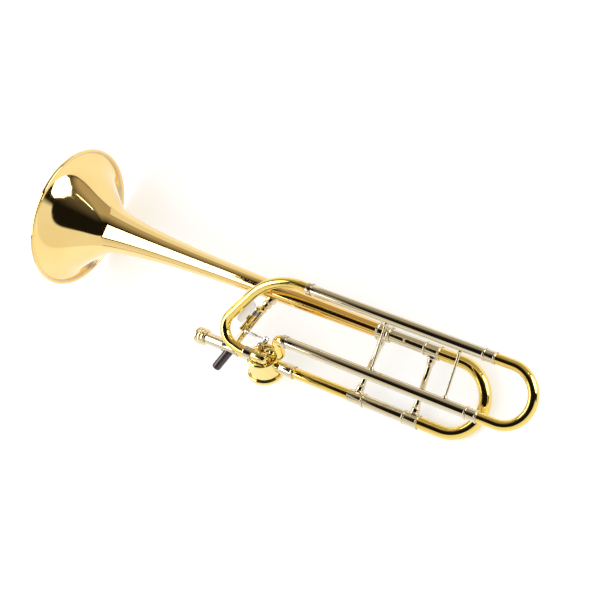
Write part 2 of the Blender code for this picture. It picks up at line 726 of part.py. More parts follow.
def build_lock_nut():
    """Captive nut that clamps the hand slide, with rounded grip ridges."""
    length = NUT_END - NUT_START
    pitch = length / NUT_RIDGES
    profile = [(RECEIVER_NECK_RADIUS + NUT_GAP, 0)]
    for ridge in range(NUT_RIDGES):
        start = ridge * pitch
        profile += [(NUT_GROOVE_RADIUS, start + 0.04 * pitch), (NUT_RADIUS, start + 0.26 * pitch),
                    (NUT_RADIUS, start + 0.74 * pitch), (NUT_GROOVE_RADIUS, start + 0.96 * pitch)]
    profile.append((RECEIVER_NECK_RADIUS + NUT_GAP, length))
    lathe("slide_lock_nut", profile, NECKPIPE + NUT_START * X_AXIS, X_AXIS, NICKEL, LOCK_NUT)


def build_gooseneck():
    tube("gooseneck", NECKPIPE, GOOSENECK_START, GOOSENECK_END, NECKPIPE_RADIUS,
         NECKPIPE_RADIUS - NECKPIPE_WALL, BRASS, HORN)
    bore = NECKPIPE_RADIUS + GAP
    outer = LOWER_SLEEVE_RADIUS + GAP
    length = GOOSENECK_FERRULE_END - GOOSENECK_FERRULE_START
    ring_at = length - GOOSENECK_RING_LENGTH
    profile = [(bore, 0), (outer, 0), (outer, ring_at), (outer + RING_HEIGHT, ring_at + RING_BEVEL),
               (outer + RING_HEIGHT, length), (bore, length)]
    lathe("gooseneck_end_ferrule", profile, NECKPIPE + GOOSENECK_FERRULE_START * X_AXIS, X_AXIS,
          NICKEL, HORN)
    start = PORT_END - 5 * MM
    ferrule_bore = PORT_RADIUS + GAP
    length = OUTLET_FERRULE_END - start
    outer = ferrule_bore + OUTLET_FERRULE_WALL
    narrow = PORT_END + GAP - start
    profile = [(ferrule_bore, 0), (outer, 0), (outer, length - RING_LENGTH),
               (outer + RING_BEVEL, length - RING_LENGTH), (outer + RING_BEVEL, length), (bore, length),
               (bore, narrow), (ferrule_bore, narrow)]
    lathe("valve_outlet_ferrule", profile, NECKPIPE + start * X_AXIS, X_AXIS, NICKEL, HORN)


# Valve

def valve_turned(name, profile, look, parent, closed=True, sides=TUBE_SIDES):
    """Piece turned about the valve's axis; heights are measured from the tube's axis."""
    return lathe(name, profile, VALVE_CENTRE, VALVE_UP, look, parent, sides, closed)


def side_cylinder(name, start, end, rise, front, radius, sides=TUBE_SIDES):
    length = end - start
    return lathe(name, [(0, 0), (radius, 0), (radius, length), (0, length)],
                 at_valve(start, rise, front), X_AXIS, BRASS, HORN, sides, closed=False)


def pedestal(name, start, end, front):
    """Block that carries an F boss on the casing's roof."""
    first = start + F_PEDESTAL_INSET - VALVE_X
    last = end - F_PEDESTAL_INSET - VALVE_X
    outline = [(first, front - F_PEDESTAL_HALF_WIDTH), (last, front - F_PEDESTAL_HALF_WIDTH),
               (last, front + F_PEDESTAL_HALF_WIDTH), (first, front + F_PEDESTAL_HALF_WIDTH)]
    foot = DRUM_TOP - DRUM_PLATE / 2
    height = F_INLET_RISE - F_BORE - F_PEDESTAL_INSET - foot
    return prism(name, outline, VALVE_CENTRE + foot * VALVE_UP, (X_AXIS, VALVE_FRONT, VALVE_UP),
                 height, BRASS, HORN)


def build_valve_casing():
    roof = DRUM_TOP - DRUM_PLATE
    bottom = CAP_BOTTOM + CAP_FLOOR + GAP
    profile = [(STEM_HOLE_RADIUS, DRUM_TOP), (DRUM_RADIUS, DRUM_TOP), (DRUM_RADIUS, DRUM_FLANGE_TOP),
               (DRUM_FLANGE_RADIUS, DRUM_FLANGE_TOP - RING_BEVEL), (DRUM_FLANGE_RADIUS, bottom),
               (DRUM_BORE, bottom), (DRUM_BORE, roof), (STEM_HOLE_RADIUS, roof)]
    casing = valve_turned("valve_casing", profile, BRASS, HORN)
    join(casing, side_cylinder("port_in", PORT_START, VALVE_X - DRUM_BORE, 0, 0, PORT_RADIUS))
    join(casing, side_cylinder("port_out", VALVE_X + DRUM_BORE, PORT_END, 0, 0, PORT_RADIUS))
    join(casing, side_cylinder("f_in_boss", F_INLET_BOSS_START, F_INLET_BOSS_END,
                               F_INLET_RISE, F_INLET_FRONT, F_BOSS_RADIUS))
    join(casing, side_cylinder("f_out_boss", F_OUTLET_BOSS_START, F_OUTLET_BOSS_END,
                               F_INLET_RISE, F_OUTLET_FRONT, F_BOSS_RADIUS))
    join(casing, pedestal("f_in_pedestal", F_INLET_BOSS_START, F_INLET_BOSS_END, F_INLET_FRONT))
    join(casing, pedestal("f_out_pedestal", F_OUTLET_BOSS_START, F_OUTLET_BOSS_END, F_OUTLET_FRONT))
    cut(casing, side_cylinder("main_bore", PORT_START - CUT_MARGIN, PORT_END + CUT_MARGIN, 0, 0, PORT_BORE))
    cut(casing, side_cylinder("f_in_bore", F_INLET_BOSS_START - CUT_MARGIN,
                              F_INLET_BOSS_START + F_BOSS_DEPTH, F_INLET_RISE, F_INLET_FRONT, F_BORE,
                              SMALL_SIDES))
    cut(casing, side_cylinder("f_out_bore", F_OUTLET_BOSS_START + F_BOSS_FLOOR,
                              F_OUTLET_BOSS_END + CUT_MARGIN, F_INLET_RISE, F_OUTLET_FRONT, F_BORE,
                              SMALL_SIDES))


def build_valve_inside():
    bottom = CAP_BOTTOM + CAP_FLOOR + 2 * GAP
    plate_top = bottom + BEARING_THICKNESS
    spindle = ROTOR_STEM_RADIUS
    rotor_radius = DRUM_BORE - BORE_GAP
    top = ARM_BOTTOM + ARM_THICKNESS
    profile = [(0, bottom + GAP), (spindle, bottom + GAP), (spindle, plate_top + GAP),
               (rotor_radius, plate_top + GAP), (rotor_radius, ROTOR_TOP), (spindle, ROTOR_TOP),
               (spindle, top), (0, top)]
    rotor = valve_turned("valve_rotor", profile, BRASS, ROTOR, closed=False)
    cut(rotor, side_cylinder("rotor_bore", VALVE_X - DRUM_RADIUS, VALVE_X + DRUM_RADIUS,
                             0, 0, PORT_BORE))
    plate = [(spindle + BORE_GAP, bottom), (rotor_radius, bottom), (rotor_radius, plate_top),
             (spindle + BORE_GAP, plate_top)]
    valve_turned("valve_bearing_plate", plate, BRASS, HORN)
    wall = DRUM_FLANGE_RADIUS + GAP
    floor = CAP_BOTTOM + CAP_FLOOR
    cap = [(0, CAP_BOTTOM), (CAP_RADIUS - CAP_BEVEL, CAP_BOTTOM), (CAP_RADIUS, CAP_BOTTOM + CAP_BEVEL),
           (CAP_RADIUS, CAP_TOP - CAP_BEVEL), (CAP_RADIUS - CAP_BEVEL, CAP_TOP), (wall, CAP_TOP),
           (wall, floor), (0, floor)]
    valve_turned("valve_cap", cap, BRASS, HORN, closed=False, sides=32)


def build_stop_arm():
    """Arm on the rotor's stem: a lug between the bumpers below, the link's ball above."""
    axis_bore = ROTOR_STEM_RADIUS + GAP
    top = ARM_BOTTOM + ARM_THICKNESS
    hub = [(axis_bore, HUB_BOTTOM), (HUB_RADIUS, HUB_BOTTOM), (HUB_RADIUS, HUB_HEAD_BOTTOM),
           (HUB_HEAD_RADIUS, HUB_HEAD_BOTTOM + RING_BEVEL), (HUB_HEAD_RADIUS, top), (axis_bore, top)]
    arm = valve_turned("stop_arm", hub, BRASS, ROTOR, sides=16)
    along = arm_direction(ARM_HALF_SWING)
    beside = VALVE_UP.cross(along)
    start = axis_bore + ARM_HALF_WIDTH + GAP
    base = VALVE_CENTRE + ARM_BOTTOM * VALVE_UP + start * along
    blade = prism("arm_blade", slot_outline(ARM_LENGTH - start, ARM_HALF_WIDTH), base,
                  (along, beside, VALVE_UP), ARM_THICKNESS * 0.96, BRASS, ROTOR)
    join(arm, blade)
    lug_base = VALVE_CENTRE + LUG_BOTTOM * VALVE_UP + (HUB_RADIUS - 0.5 * MM) * along
    lug_length = LUG_LENGTH - HUB_RADIUS + 0.5 * MM
    lug_outline = [(0, -LUG_HALF_WIDTH), (lug_length, -LUG_HALF_WIDTH),
                   (lug_length, LUG_HALF_WIDTH), (0, LUG_HALF_WIDTH)]
    join(arm, prism("arm_lug", lug_outline, lug_base, (along, beside, VALVE_UP), LUG_THICKNESS,
                    BRASS, ROTOR))
    foot = ARM_BOTTOM + 1 * MM
    stud = lathe("arm_stud", [(0, 0), (BALL_STUD_RADIUS, 0), (BALL_STUD_RADIUS, ARM_BALL_RISE - foot),
                              (0, ARM_BALL_RISE - foot)],
                 ARM_BALL - (ARM_BALL_RISE - foot) * VALVE_UP, VALVE_UP, BRASS, ROTOR, 8, closed=False)
    join(arm, stud)
    join(arm, ball("arm_ball", ARM_BALL, LEVER_BALL_RADIUS, BRASS, ROTOR))
    screw = [(0, top + GAP), (SCREW_HEAD_RADIUS, top + GAP),
             (SCREW_HEAD_RADIUS, top + GAP + SCREW_HEAD_HEIGHT * 0.6),
             (SCREW_HEAD_RADIUS * 0.7, top + GAP + SCREW_HEAD_HEIGHT),
             (0, top + GAP + SCREW_HEAD_HEIGHT)]
    valve_turned("stop_arm_screw", screw, STEEL, ROTOR, closed=False, sides=SMALL_SIDES)


def build_stops():
    """Crescent plate on the casing that carries the two bumpers."""
    reach = BUMPER_ANGLE + math.asin(BUMPER_RADIUS / BUMPER_CIRCLE)
    steps = 10
    outline = []
    for radius, order in ((BUMPER_CIRCLE + STOP_PLATE_HALF_WIDTH, range(steps + 1)),
                          (BUMPER_CIRCLE - STOP_PLATE_HALF_WIDTH, reversed(range(steps + 1)))):
        for step in order:
            angle = reach * (2 * step / steps - 1)
            outline.append((radius * math.sin(angle), radius * math.cos(angle)))
    base = VALVE_CENTRE + (DRUM_TOP + GAP) * VALVE_UP
    prism("stop_plate", outline, base, (X_AXIS, -VALVE_FRONT, VALVE_UP), STOP_PLATE_THICKNESS,
          BRASS, HORN)
    bottom = DRUM_TOP + 2 * GAP + STOP_PLATE_THICKNESS
    for name, angle in (("stop_bumper_rest", BUMPER_ANGLE), ("stop_bumper_pressed", -BUMPER_ANGLE)):
        centre = VALVE_CENTRE + bottom * VALVE_UP + BUMPER_CIRCLE * arm_direction(angle)
        lathe(name, [(0, 0), (BUMPER_RADIUS, 0), (BUMPER_RADIUS, BUMPER_HEIGHT), (0, BUMPER_HEIGHT)],
              centre, VALVE_UP, CORK, HORN, SMALL_SIDES, closed=False)


# F attachment

def build_f_tubes():
    inner = F_SLEEVE_RADIUS - F_TUBE_WALL
    for name, line, start in (("upper", F_UPPER, F_UPPER_START), ("lower", F_LOWER, F_LOWER_START)):
        tube("f_%s_sleeve" % name, line, start, F_SEAM, F_SLEEVE_RADIUS, inner, NICKEL, HORN)
        end_ring("f_%s_sleeve_ring" % name, line, F_SEAM, F_SLEEVE_RADIUS, NICKEL, HORN)
        bore = F_SLEEVE_RADIUS + GAP
        outer = bore + F_JOINT_WALL
        profile = [(bore, 0), (outer, 0), (outer, F_JOINT_LENGTH), (bore, F_JOINT_LENGTH)]
        lathe("f_%s_joint_ring" % name, profile, line + (start - F_JOINT_LENGTH / 2) * X_AXIS, X_AXIS,
              NICKEL, HORN)


def build_f_slide():
    leg = F_SLEEVE_RADIUS - F_TUBE_WALL - SLIDE_GAP
    for name, line in (("upper", F_UPPER), ("lower", F_LOWER)):
        tube("f_inner_leg_" + name, line, F_SEAM - F_LEG_INSERT, F_BOW_START - GAP,
             leg, leg - LEG_WALL, NICKEL, F_SLIDE)
        slide_ferrule("f_bow_ferrule_" + name, line, F_SEAM, F_FERRULE_LENGTH, F_BOW_START,
                      leg, F_BOW_RADIUS, F_FERRULE_WALL, F_SLIDE)
    build_bow("f_tuning_bow", F_UPPER, F_LOWER, F_BOW_START, F_BOW_END, F_BOW_RADIUS, F_TUBE_WALL, F_SLIDE)


def build_f_crooks():
    """Large crook from the valve round to the upper tube, and the riser to the lower tube."""
    inlet = at_valve(CROOK_FERRULE_START, F_INLET_RISE, F_INLET_FRONT)
    corners = [F_UPPER + (F_UPPER_START - GAP) * X_AXIS, F_UPPER + CROOK_FAR_X * X_AXIS,
               Vector(CROOK_TURN), inlet - CROOK_LEAD * X_AXIS, inlet]
    route = fillet_path(corners, CROOK_BENDS)
    swept_tube("f_large_crook", route, F_BOW_RADIUS, F_BOW_RADIUS - F_TUBE_WALL, BRASS, HORN)
    bore = F_BOW_RADIUS + GAP
    outer = bore + F_JOINT_WALL
    length = F_INLET_START - CROOK_FERRULE_START
    start = GAP
    profile = [(bore - CROOK_FERRULE_LIP, start), (outer, start), (outer, length), (bore, length),
               (bore, start + CROOK_FERRULE_STOP), (bore - CROOK_FERRULE_LIP, start + 3 * MM)]
    lathe("f_crook_ferrule", profile, inlet, X_AXIS, NICKEL, HORN)
    tube("f_inlet_pipe", at_valve(0, F_INLET_RISE, F_INLET_FRONT),
         CROOK_FERRULE_START + start + CROOK_FERRULE_STOP + GAP, F_INLET_BOSS_START - GAP,
         F_BOW_RADIUS, F_BOW_RADIUS - F_TUBE_WALL, BRASS, HORN)
    riser = [at_valve(F_OUTLET_BOSS_END + GAP, F_INLET_RISE, F_OUTLET_FRONT),
             at_valve(F_RISER_X, F_INLET_RISE, F_OUTLET_FRONT),
             F_LOWER + F_RISER_X * X_AXIS,
             F_LOWER + (F_LOWER_START - GAP) * X_AXIS]
    swept_tube("f_return_crook", fillet_path(riser, (10.4 * MM, 14.5 * MM)), F_BOW_RADIUS,
               F_BOW_RADIUS - F_TUBE_WALL, BRASS, HORN)


# Braces

def build_braces():
    collar = bell_radius(COLLAR_START) + GAP + COLLAR_WALL
    ferrule = LOWER_SLEEVE_RADIUS + GAP
    brace = tapered_brace("main_brace", MAIN_BRACE_TOP_X * X_AXIS,
                          MAIN_BRACE_FOOT_X * X_AXIS + NECKPIPE, MAIN_BRACE_RADIUS,
                          BRACE_SOCKET_RADIUS - 0.6 * MM, BRACE_SOCKET_LENGTH, ferrule + 1 * MM, HORN)
    cut_tube(brace, Vector((0, 0, 0)), collar, COLLAR_START - CUT_MARGIN, COLLAR_END + CUT_MARGIN)
    cut_tube(brace, NECKPIPE, ferrule, GOOSENECK_FERRULE_START - CUT_MARGIN,
             GOOSENECK_FERRULE_END + CUT_MARGIN)
    for name, x in (("f_brace_front", F_BRACE_FRONT_X), ("f_brace_back", F_BRACE_BACK_X)):
        thin = thin_brace(name, F_UPPER + x * X_AXIS, F_LOWER + x * X_AXIS, F_SLEEVE_RADIUS)
        for line in (F_UPPER, F_LOWER):
            cut_tube(thin, line, F_SLEEVE_RADIUS, x - BRACE_CUT_MARGIN, x + BRACE_CUT_MARGIN)
    stay = thin_brace("f_stay", F_STAY_X * X_AXIS, F_UPPER + F_STAY_X * X_AXIS, F_SLEEVE_RADIUS)
    cut_tube(stay, Vector((0, 0, 0)), collar, COLLAR_START - CUT_MARGIN, COLLAR_END + CUT_MARGIN)
    cut_tube(stay, F_UPPER, F_SLEEVE_RADIUS, F_STAY_X - BRACE_CUT_MARGIN, F_STAY_X + BRACE_CUT_MARGIN)


def thin_brace(name, first, second, tube_radius):
    """Thin rod between two tube axes, with small feet."""
    length = (second - first).length
    near = tube_radius / 2
    foot = tube_radius + F_BRACE_FOOT_LENGTH
    profile = [(0, near), (F_BRACE_FOOT_RADIUS, near), (F_BRACE_FOOT_RADIUS, foot - 1.5 * MM),
               (F_BRACE_RADIUS, foot), (F_BRACE_RADIUS, length - foot),
               (F_BRACE_FOOT_RADIUS, length - foot + 1.5 * MM), (F_BRACE_FOOT_RADIUS, length - near),
               (0, length - near)]
    return lathe(name, profile, first, second - first, NICKEL, HORN, SMALL_SIDES, closed=False)


def build_rear_brace():
    """Slanted brace with a cup and flange on the stem's patch, and the hand rest in line."""
    stem = bell_radius(BRACE_HEAD_X) + GAP + PATCH_WALL
    length = (BRACE_HEAD - BRACE_FOOT).length
    surface = length - stem / BRACE_ALONG.y
    flange_at = surface - BRACE_FLANGE_LENGTH
    cup_at = flange_at - BRACE_CUP_LENGTH
    profile = [(0, RECEIVER_RADIUS / 2), (REAR_BRACE_RADIUS, RECEIVER_RADIUS / 2),
               (REAR_BRACE_RADIUS, cup_at), (BRACE_CUP_RADIUS, cup_at + 1 * MM),
               (BRACE_CUP_RADIUS, flange_at - 1 * MM), (REAR_BRACE_RADIUS + 0.5 * MM, flange_at),
               (BRACE_FLANGE_RADIUS, surface - 1.5 * MM), (BRACE_FLANGE_RADIUS, length - 3 * MM),
               (0, length - 3 * MM)]
    brace = lathe("rear_brace", profile, BRACE_FOOT, BRACE_ALONG, NICKEL, HORN, 16, closed=False)
    receiver = RECEIVER_RADIUS + GAP
    cut_tube(brace, NECKPIPE, receiver, RECEIVER_NECK_END, RECEIVER_END + BRACE_CUT_MARGIN)
    clear = GAP + PATCH_WALL + GAP
    tool = lathe("stem_saddle", [(0, 0), (bell_radius(PATCH_START) + clear, 0),
                                 (bell_radius(BRACE_HEAD_X) + clear, BRACE_HEAD_X - PATCH_START),
                                 (bell_radius(PATCH_END) + clear, PATCH_END - PATCH_START),
                                 (0, PATCH_END - PATCH_START)],
                 PATCH_START * X_AXIS, X_AXIS, None, HORN, BELL_SIDES, closed=False)
    cut(brace, tool)
    near = RECEIVER_RADIUS / 2
    rest = [(0, near), (HAND_REST_RADIUS, near), (HAND_REST_RADIUS, HAND_REST_END - 2.5 * MM),
            (HAND_REST_RADIUS - 0.9 * MM, HAND_REST_END - 0.8 * MM),
            (HAND_REST_RADIUS - 2.5 * MM, HAND_REST_END), (0, HAND_REST_END)]
    grip = lathe("hand_rest", rest, BRACE_FOOT, -BRACE_ALONG, BLACK, HORN, TUBE_SIDES, closed=False)
    cut_tube(grip, NECKPIPE, receiver, RECEIVER_NECK_END, RECEIVER_END + BRACE_CUT_MARGIN)


# Thumb lever and linkage

def brace_axes():
    return (BRACE_ACROSS, Z_AXIS, BRACE_ALONG)


def brace_turned(name, start, end, outer, inner, look, parent, across=PIVOT_ACROSS, above=PIVOT_ABOVE):
    """Straight round piece parallel to the rear brace."""
    length = end - start
    closed = inner > 0
    profile = [(inner, 0), (outer, 0), (outer, length), (inner, length)]
    return lathe(name, profile, at_brace(start, across, above), BRACE_ALONG, look, parent, 16, closed)


def build_lever_mounts():
    """Pivot rod above the rear brace, held by an ear at each end."""
    brace_turned("lever_pivot_rod", PIVOT_START, PIVOT_END, PIVOT_ROD_RADIUS, 0, STEEL, HORN)
    for name, start in (("lever_ear_lower", PIVOT_START + GAP),
                        ("lever_ear_upper", PIVOT_END - EAR_THICKNESS - GAP)):
        steps = 8
        outline = [(PIVOT_ACROSS + EAR_HALF_WIDTH * math.cos(math.pi * k / steps),
                    PIVOT_ABOVE + EAR_HALF_WIDTH * math.sin(math.pi * k / steps))
                   for k in range(steps + 1)]
        foot = REAR_BRACE_RADIUS + 1.2 * MM
        outline += [(-foot, 3 * MM), (-foot, 0), (foot, 0), (foot, 3 * MM)]
        ear = prism(name, outline, at_brace(start, 0, 0), brace_axes(), EAR_THICKNESS, BRASS, HORN)
        cut(ear, brace_turned(name + "_saddle", start - CUT_MARGIN, start + EAR_THICKNESS + CUT_MARGIN,
                              REAR_BRACE_RADIUS + GAP, 0, None, HORN, 0, 0))
        cut(ear, brace_turned(name + "_hole", start - CUT_MARGIN, start + EAR_THICKNESS + CUT_MARGIN,
                              PIVOT_ROD_RADIUS + GAP, 0, None, HORN))


def build_lever():
    """Barrel on the pivot rod, with one arm to the link and one to the thumb plate."""
    bore = PIVOT_ROD_RADIUS + BORE_GAP
    lever = brace_turned("thumb_lever", BARREL_START, BARREL_END, BARREL_RADIUS, bore, BRASS, LEVER)
    pivot = at_brace(0, PIVOT_ACROSS, PIVOT_ABOVE)
    reach = LEVER_BALL - PIVOT_POINT
    link_arm_at = LEVER_BALL_ALONG + LEVER_ARM_OFFSET
    direction = reach.normalized()
    across = BRACE_ALONG.cross(direction)
    start = bore + LEVER_ARM_HALF_WIDTH + GAP
    arm = prism("lever_arm", slot_outline(reach.length - start, LEVER_ARM_HALF_WIDTH),
                pivot + link_arm_at * BRACE_ALONG + start * direction,
                (direction, across, BRACE_ALONG), LEVER_ARM_THICKNESS, BRASS, LEVER)
    join(lever, arm)
    stud_length = LEVER_ARM_OFFSET + 1 * MM
    join(lever, lathe("lever_stud", [(0, 0), (BALL_STUD_RADIUS, 0), (BALL_STUD_RADIUS, stud_length),
                                     (0, stud_length)],
                      LEVER_BALL, BRACE_ALONG, BRASS, LEVER, 8, closed=False))
    join(lever, ball("lever_ball", LEVER_BALL, LEVER_BALL_RADIUS, BRASS, LEVER))
    pad_above = PLATE_ABOVE - PLATE_DISH - PLATE_THICKNESS - GAP
    pad = [(PIVOT_ACROSS + 2.2 * MM, PIVOT_ABOVE - 1.5 * MM), (PLATE_ACROSS + 2 * MM, pad_above - 1.6 * MM),
           (PLATE_ACROSS + 2 * MM, pad_above), (PLATE_ACROSS - 2 * MM, pad_above),
           (PIVOT_ACROSS + 2.2 * MM, PIVOT_ABOVE + 2.2 * MM)]
    join(lever, prism("plate_arm", pad, at_brace(PLATE_ARM_AT, 0, 0), brace_axes(), 7 * MM, BRASS, LEVER))
    build_thumb_plate()


def build_thumb_plate():
    """Dished plate with round ends that the thumb presses."""
    rows = 10
    columns = 6
    length = PLATE_END - PLATE_START
    bm = bmesh.new()
    layers = []
    for drop in (0, PLATE_THICKNESS):
        grid = []
        for row in range(rows + 1):
            share = row / rows
            along = PLATE_START + length * (1 - math.cos(math.pi * share)) / 2
            end = min(along - PLATE_START, PLATE_END - along) / PLATE_HALF_WIDTH
            round_end = math.sqrt(max(0.0, 1 - (1 - min(end, 1)) ** 2))
            half = PLATE_HALF_WIDTH * (0.35 + 0.65 * round_end)
            line = []
            for column in range(columns + 1):
                side = 2 * column / columns - 1
                dish = PLATE_DISH * (1 - side * side)
                line.append(bm.verts.new(at_brace(along, PLATE_ACROSS + half * side,
                                                  PLATE_ABOVE - dish - drop)))
            grid.append(line)
        layers.append(grid)
    over, under = layers
    for grid in layers:
        for row in range(rows):
            for column in range(columns):
                bm.faces.new((grid[row][column], grid[row][column + 1],
                              grid[row + 1][column + 1], grid[row + 1][column]))
    edge_steps = [(0, c, 0, c + 1) for c in range(columns)]
    edge_steps += [(rows, c, rows, c + 1) for c in range(columns)]
    edge_steps += [(r, 0, r + 1, 0) for r in range(rows)]
    edge_steps += [(r, columns, r + 1, columns) for r in range(rows)]
    for r0, c0, r1, c1 in edge_steps:
        bm.faces.new((under[r0][c0], under[r1][c1], over[r1][c1], over[r0][c0]))
    finish("thumb_plate", bm, NICKEL, LEVER)


def build_lever_spring():
    """Torsion spring wound round the pivot rod, one leg on the brace and one on the lever."""
    points = []
    total = SPRING_TURNS * SPRING_POINTS_PER_TURN
    for step in range(total + 1):
        angle = math.pi * 1.5 + 2 * math.pi * step / SPRING_POINTS_PER_TURN
        along = SPRING_START + SPRING_PITCH * step / SPRING_POINTS_PER_TURN
        points.append(at_brace(along, PIVOT_ACROSS + SPRING_RADIUS * math.cos(angle),
                               PIVOT_ABOVE + SPRING_RADIUS * math.sin(angle)))
    gap = SPRING_PITCH - 2 * SPRING_WIRE_RADIUS
    print("least gap between spring curls: %.2f mm" % (gap / MM))
    curve = bpy.data.curves.new("lever_spring", "CURVE")
    curve.dimensions = "3D"
    spline = curve.splines.new("POLY")
    spline.points.add(len(points) - 1)
    for slot, point in zip(spline.points, points):
        slot.co = (*(point - HORN.location), 1)
    curve.bevel_depth = SPRING_WIRE_RADIUS
    curve.bevel_resolution = 1
    curve.use_fill_caps = True
    curve.materials.append(SPRING_STEEL)
    spring = bpy.data.objects.new("lever_spring", curve)
    spring.parent = HORN
    bpy.context.collection.objects.link(spring)


def build_link():
    """Link from the lever's ball to the arm's ball, which has the loose socket."""
    start = LEVER_BALL_RADIUS + BORE_GAP + SOCKET_WALL * 0.5
    span = (ARM_BALL - LEVER_BALL).length
    end = span - SOCKET_OPEN_RADIUS - SOCKET_WALL * 0.5
    sleeve_end = start + LINK_SLEEVE_LENGTH
    profile = [(0, start), (LINK_SLEEVE_RADIUS, start), (LINK_SLEEVE_RADIUS, sleeve_end),
               (LINK_ROD_RADIUS, sleeve_end), (LINK_ROD_RADIUS, end), (0, end)]
    link = lathe("linkage_rod", profile, LEVER_BALL, ARM_BALL - LEVER_BALL, STEEL, LINK, SMALL_SIDES,
                 closed=False)
    near = ball("link_near", LEVER_BALL, LEVER_BALL_RADIUS + BORE_GAP + SOCKET_WALL, STEEL, LINK)
    far = ball("link_far", ARM_BALL, SOCKET_OPEN_RADIUS + SOCKET_WALL, STEEL, LINK)
    join(link, near)
    join(link, far)
    ends = (("near", LEVER_BALL, LEVER_BALL_RADIUS + BORE_GAP, BRACE_ALONG, LEVER_BALL_RADIUS + GAP),
            ("far", ARM_BALL, SOCKET_OPEN_RADIUS, -VALVE_UP, GAP))
    for name, centre, cavity, axis, brim in ends:
        cut(link, ball("link_%s_cavity" % name, centre, cavity, None, LINK))
        reach = cavity + SOCKET_WALL + MM
        mouth = [(0, 0), (SOCKET_MOUTH_RADIUS, 0), (SOCKET_MOUTH_RADIUS, brim), (reach, brim),
                 (reach, reach), (0, reach)]
        cut(link, lathe("link_%s_mouth" % name, mouth, centre, axis, None, LINK, SMALL_SIDES,
                        closed=False))


# Resting pose

def rest_up(pitch, roll):
    """The table's normal, in the horn's frame."""
    return Vector((-math.sin(pitch), math.cos(pitch) * math.sin(roll), math.cos(pitch) * math.cos(roll)))


def rest_pitch(roll):
    """Pitch at which the bell's rim and the main bow both touch the table."""
    bend = TUBE_SPACING / 2
    centre = Vector((MAIN_BOW_END - BOW_RADIUS - bend, -bend, 0))
    low, high = 0.0, math.radians(20)
    for _ in range(50):
        pitch = (low + high) / 2
        up = rest_up(pitch, roll)
        rim = -BELL_RIM_RADIUS * math.hypot(up.y, up.z)
        bow = up.dot(centre) - bend * math.hypot(up.x, up.y) - BOW_RADIUS
        if bow > rim:
            low = pitch
        else:
            high = pitch
    return low


def lay_on_table():
    up = rest_up(rest_pitch(REST_ROLL), REST_ROLL)
    forward = (X_AXIS - X_AXIS.dot(up) * up).normalized()
    side = up.cross(forward)
    HORN.rotation_euler = Matrix((forward, side, up)).to_euler()
    bpy.context.view_layer.update()
    graph = bpy.context.evaluated_depsgraph_get()
    corners = []
    for item in bpy.data.objects:
        if item.type in {"MESH", "CURVE"} and not item.hide_render:
            evaluated = item.evaluated_get(graph)
            shape = evaluated.to_mesh()
            corners += [evaluated.matrix_world @ vertex.co for vertex in shape.vertices]
            evaluated.to_mesh_clear()
    low = Vector(min(corner[axis] for corner in corners) for axis in range(3))
    high = Vector(max(corner[axis] for corner in corners) for axis in range(3))
    HORN.location = Vector((-(low.x + high.x) / 2, -(low.y + high.y) / 2, -low.z))
    bpy.context.view_layer.update()


def build():
    build_bell()
    build_stem_patch()
    build_main_sleeves()
    build_main_slide()
    build_neckpipe()
    build_lock_nut()
    build_gooseneck()
    build_valve_casing()
    build_valve_inside()
    build_stop_arm()
    build_stops()
    build_f_tubes()
    build_f_slide()
    build_f_crooks()
    build_braces()
    build_rear_brace()
    build_lever_mounts()
    build_lever()
    build_lever_spring()
    build_link()
    lay_on_table()


build()
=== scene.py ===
import json
import math

import bmesh
import bpy
from mathutils import Matrix, Vector


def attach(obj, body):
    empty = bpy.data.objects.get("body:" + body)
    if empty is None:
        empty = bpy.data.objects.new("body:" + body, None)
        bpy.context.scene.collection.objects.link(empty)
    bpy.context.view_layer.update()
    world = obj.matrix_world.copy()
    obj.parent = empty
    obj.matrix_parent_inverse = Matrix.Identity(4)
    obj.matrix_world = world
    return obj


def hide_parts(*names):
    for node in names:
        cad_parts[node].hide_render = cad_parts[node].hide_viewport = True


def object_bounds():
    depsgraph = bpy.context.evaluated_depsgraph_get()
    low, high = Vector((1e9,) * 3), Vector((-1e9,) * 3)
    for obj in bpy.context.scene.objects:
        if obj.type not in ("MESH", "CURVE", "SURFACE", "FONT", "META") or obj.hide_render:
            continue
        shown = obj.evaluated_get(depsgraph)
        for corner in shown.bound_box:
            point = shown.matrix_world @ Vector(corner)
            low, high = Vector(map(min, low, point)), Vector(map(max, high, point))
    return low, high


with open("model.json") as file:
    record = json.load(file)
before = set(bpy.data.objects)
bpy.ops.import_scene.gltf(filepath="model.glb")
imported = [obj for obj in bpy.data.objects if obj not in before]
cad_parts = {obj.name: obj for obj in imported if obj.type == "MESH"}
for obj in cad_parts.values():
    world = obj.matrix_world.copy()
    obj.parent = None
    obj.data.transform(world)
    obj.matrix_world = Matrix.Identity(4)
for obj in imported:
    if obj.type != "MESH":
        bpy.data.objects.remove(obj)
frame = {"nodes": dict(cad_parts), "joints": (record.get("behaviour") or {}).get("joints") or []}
CAD_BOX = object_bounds()

MM = 0.001
GAP = 0.3 * MM
TUBE_WALL = 0.8 * MM
TUBE_SIDES = 56
BELL_SIDES = 200
ARC_STEP = math.radians(3)

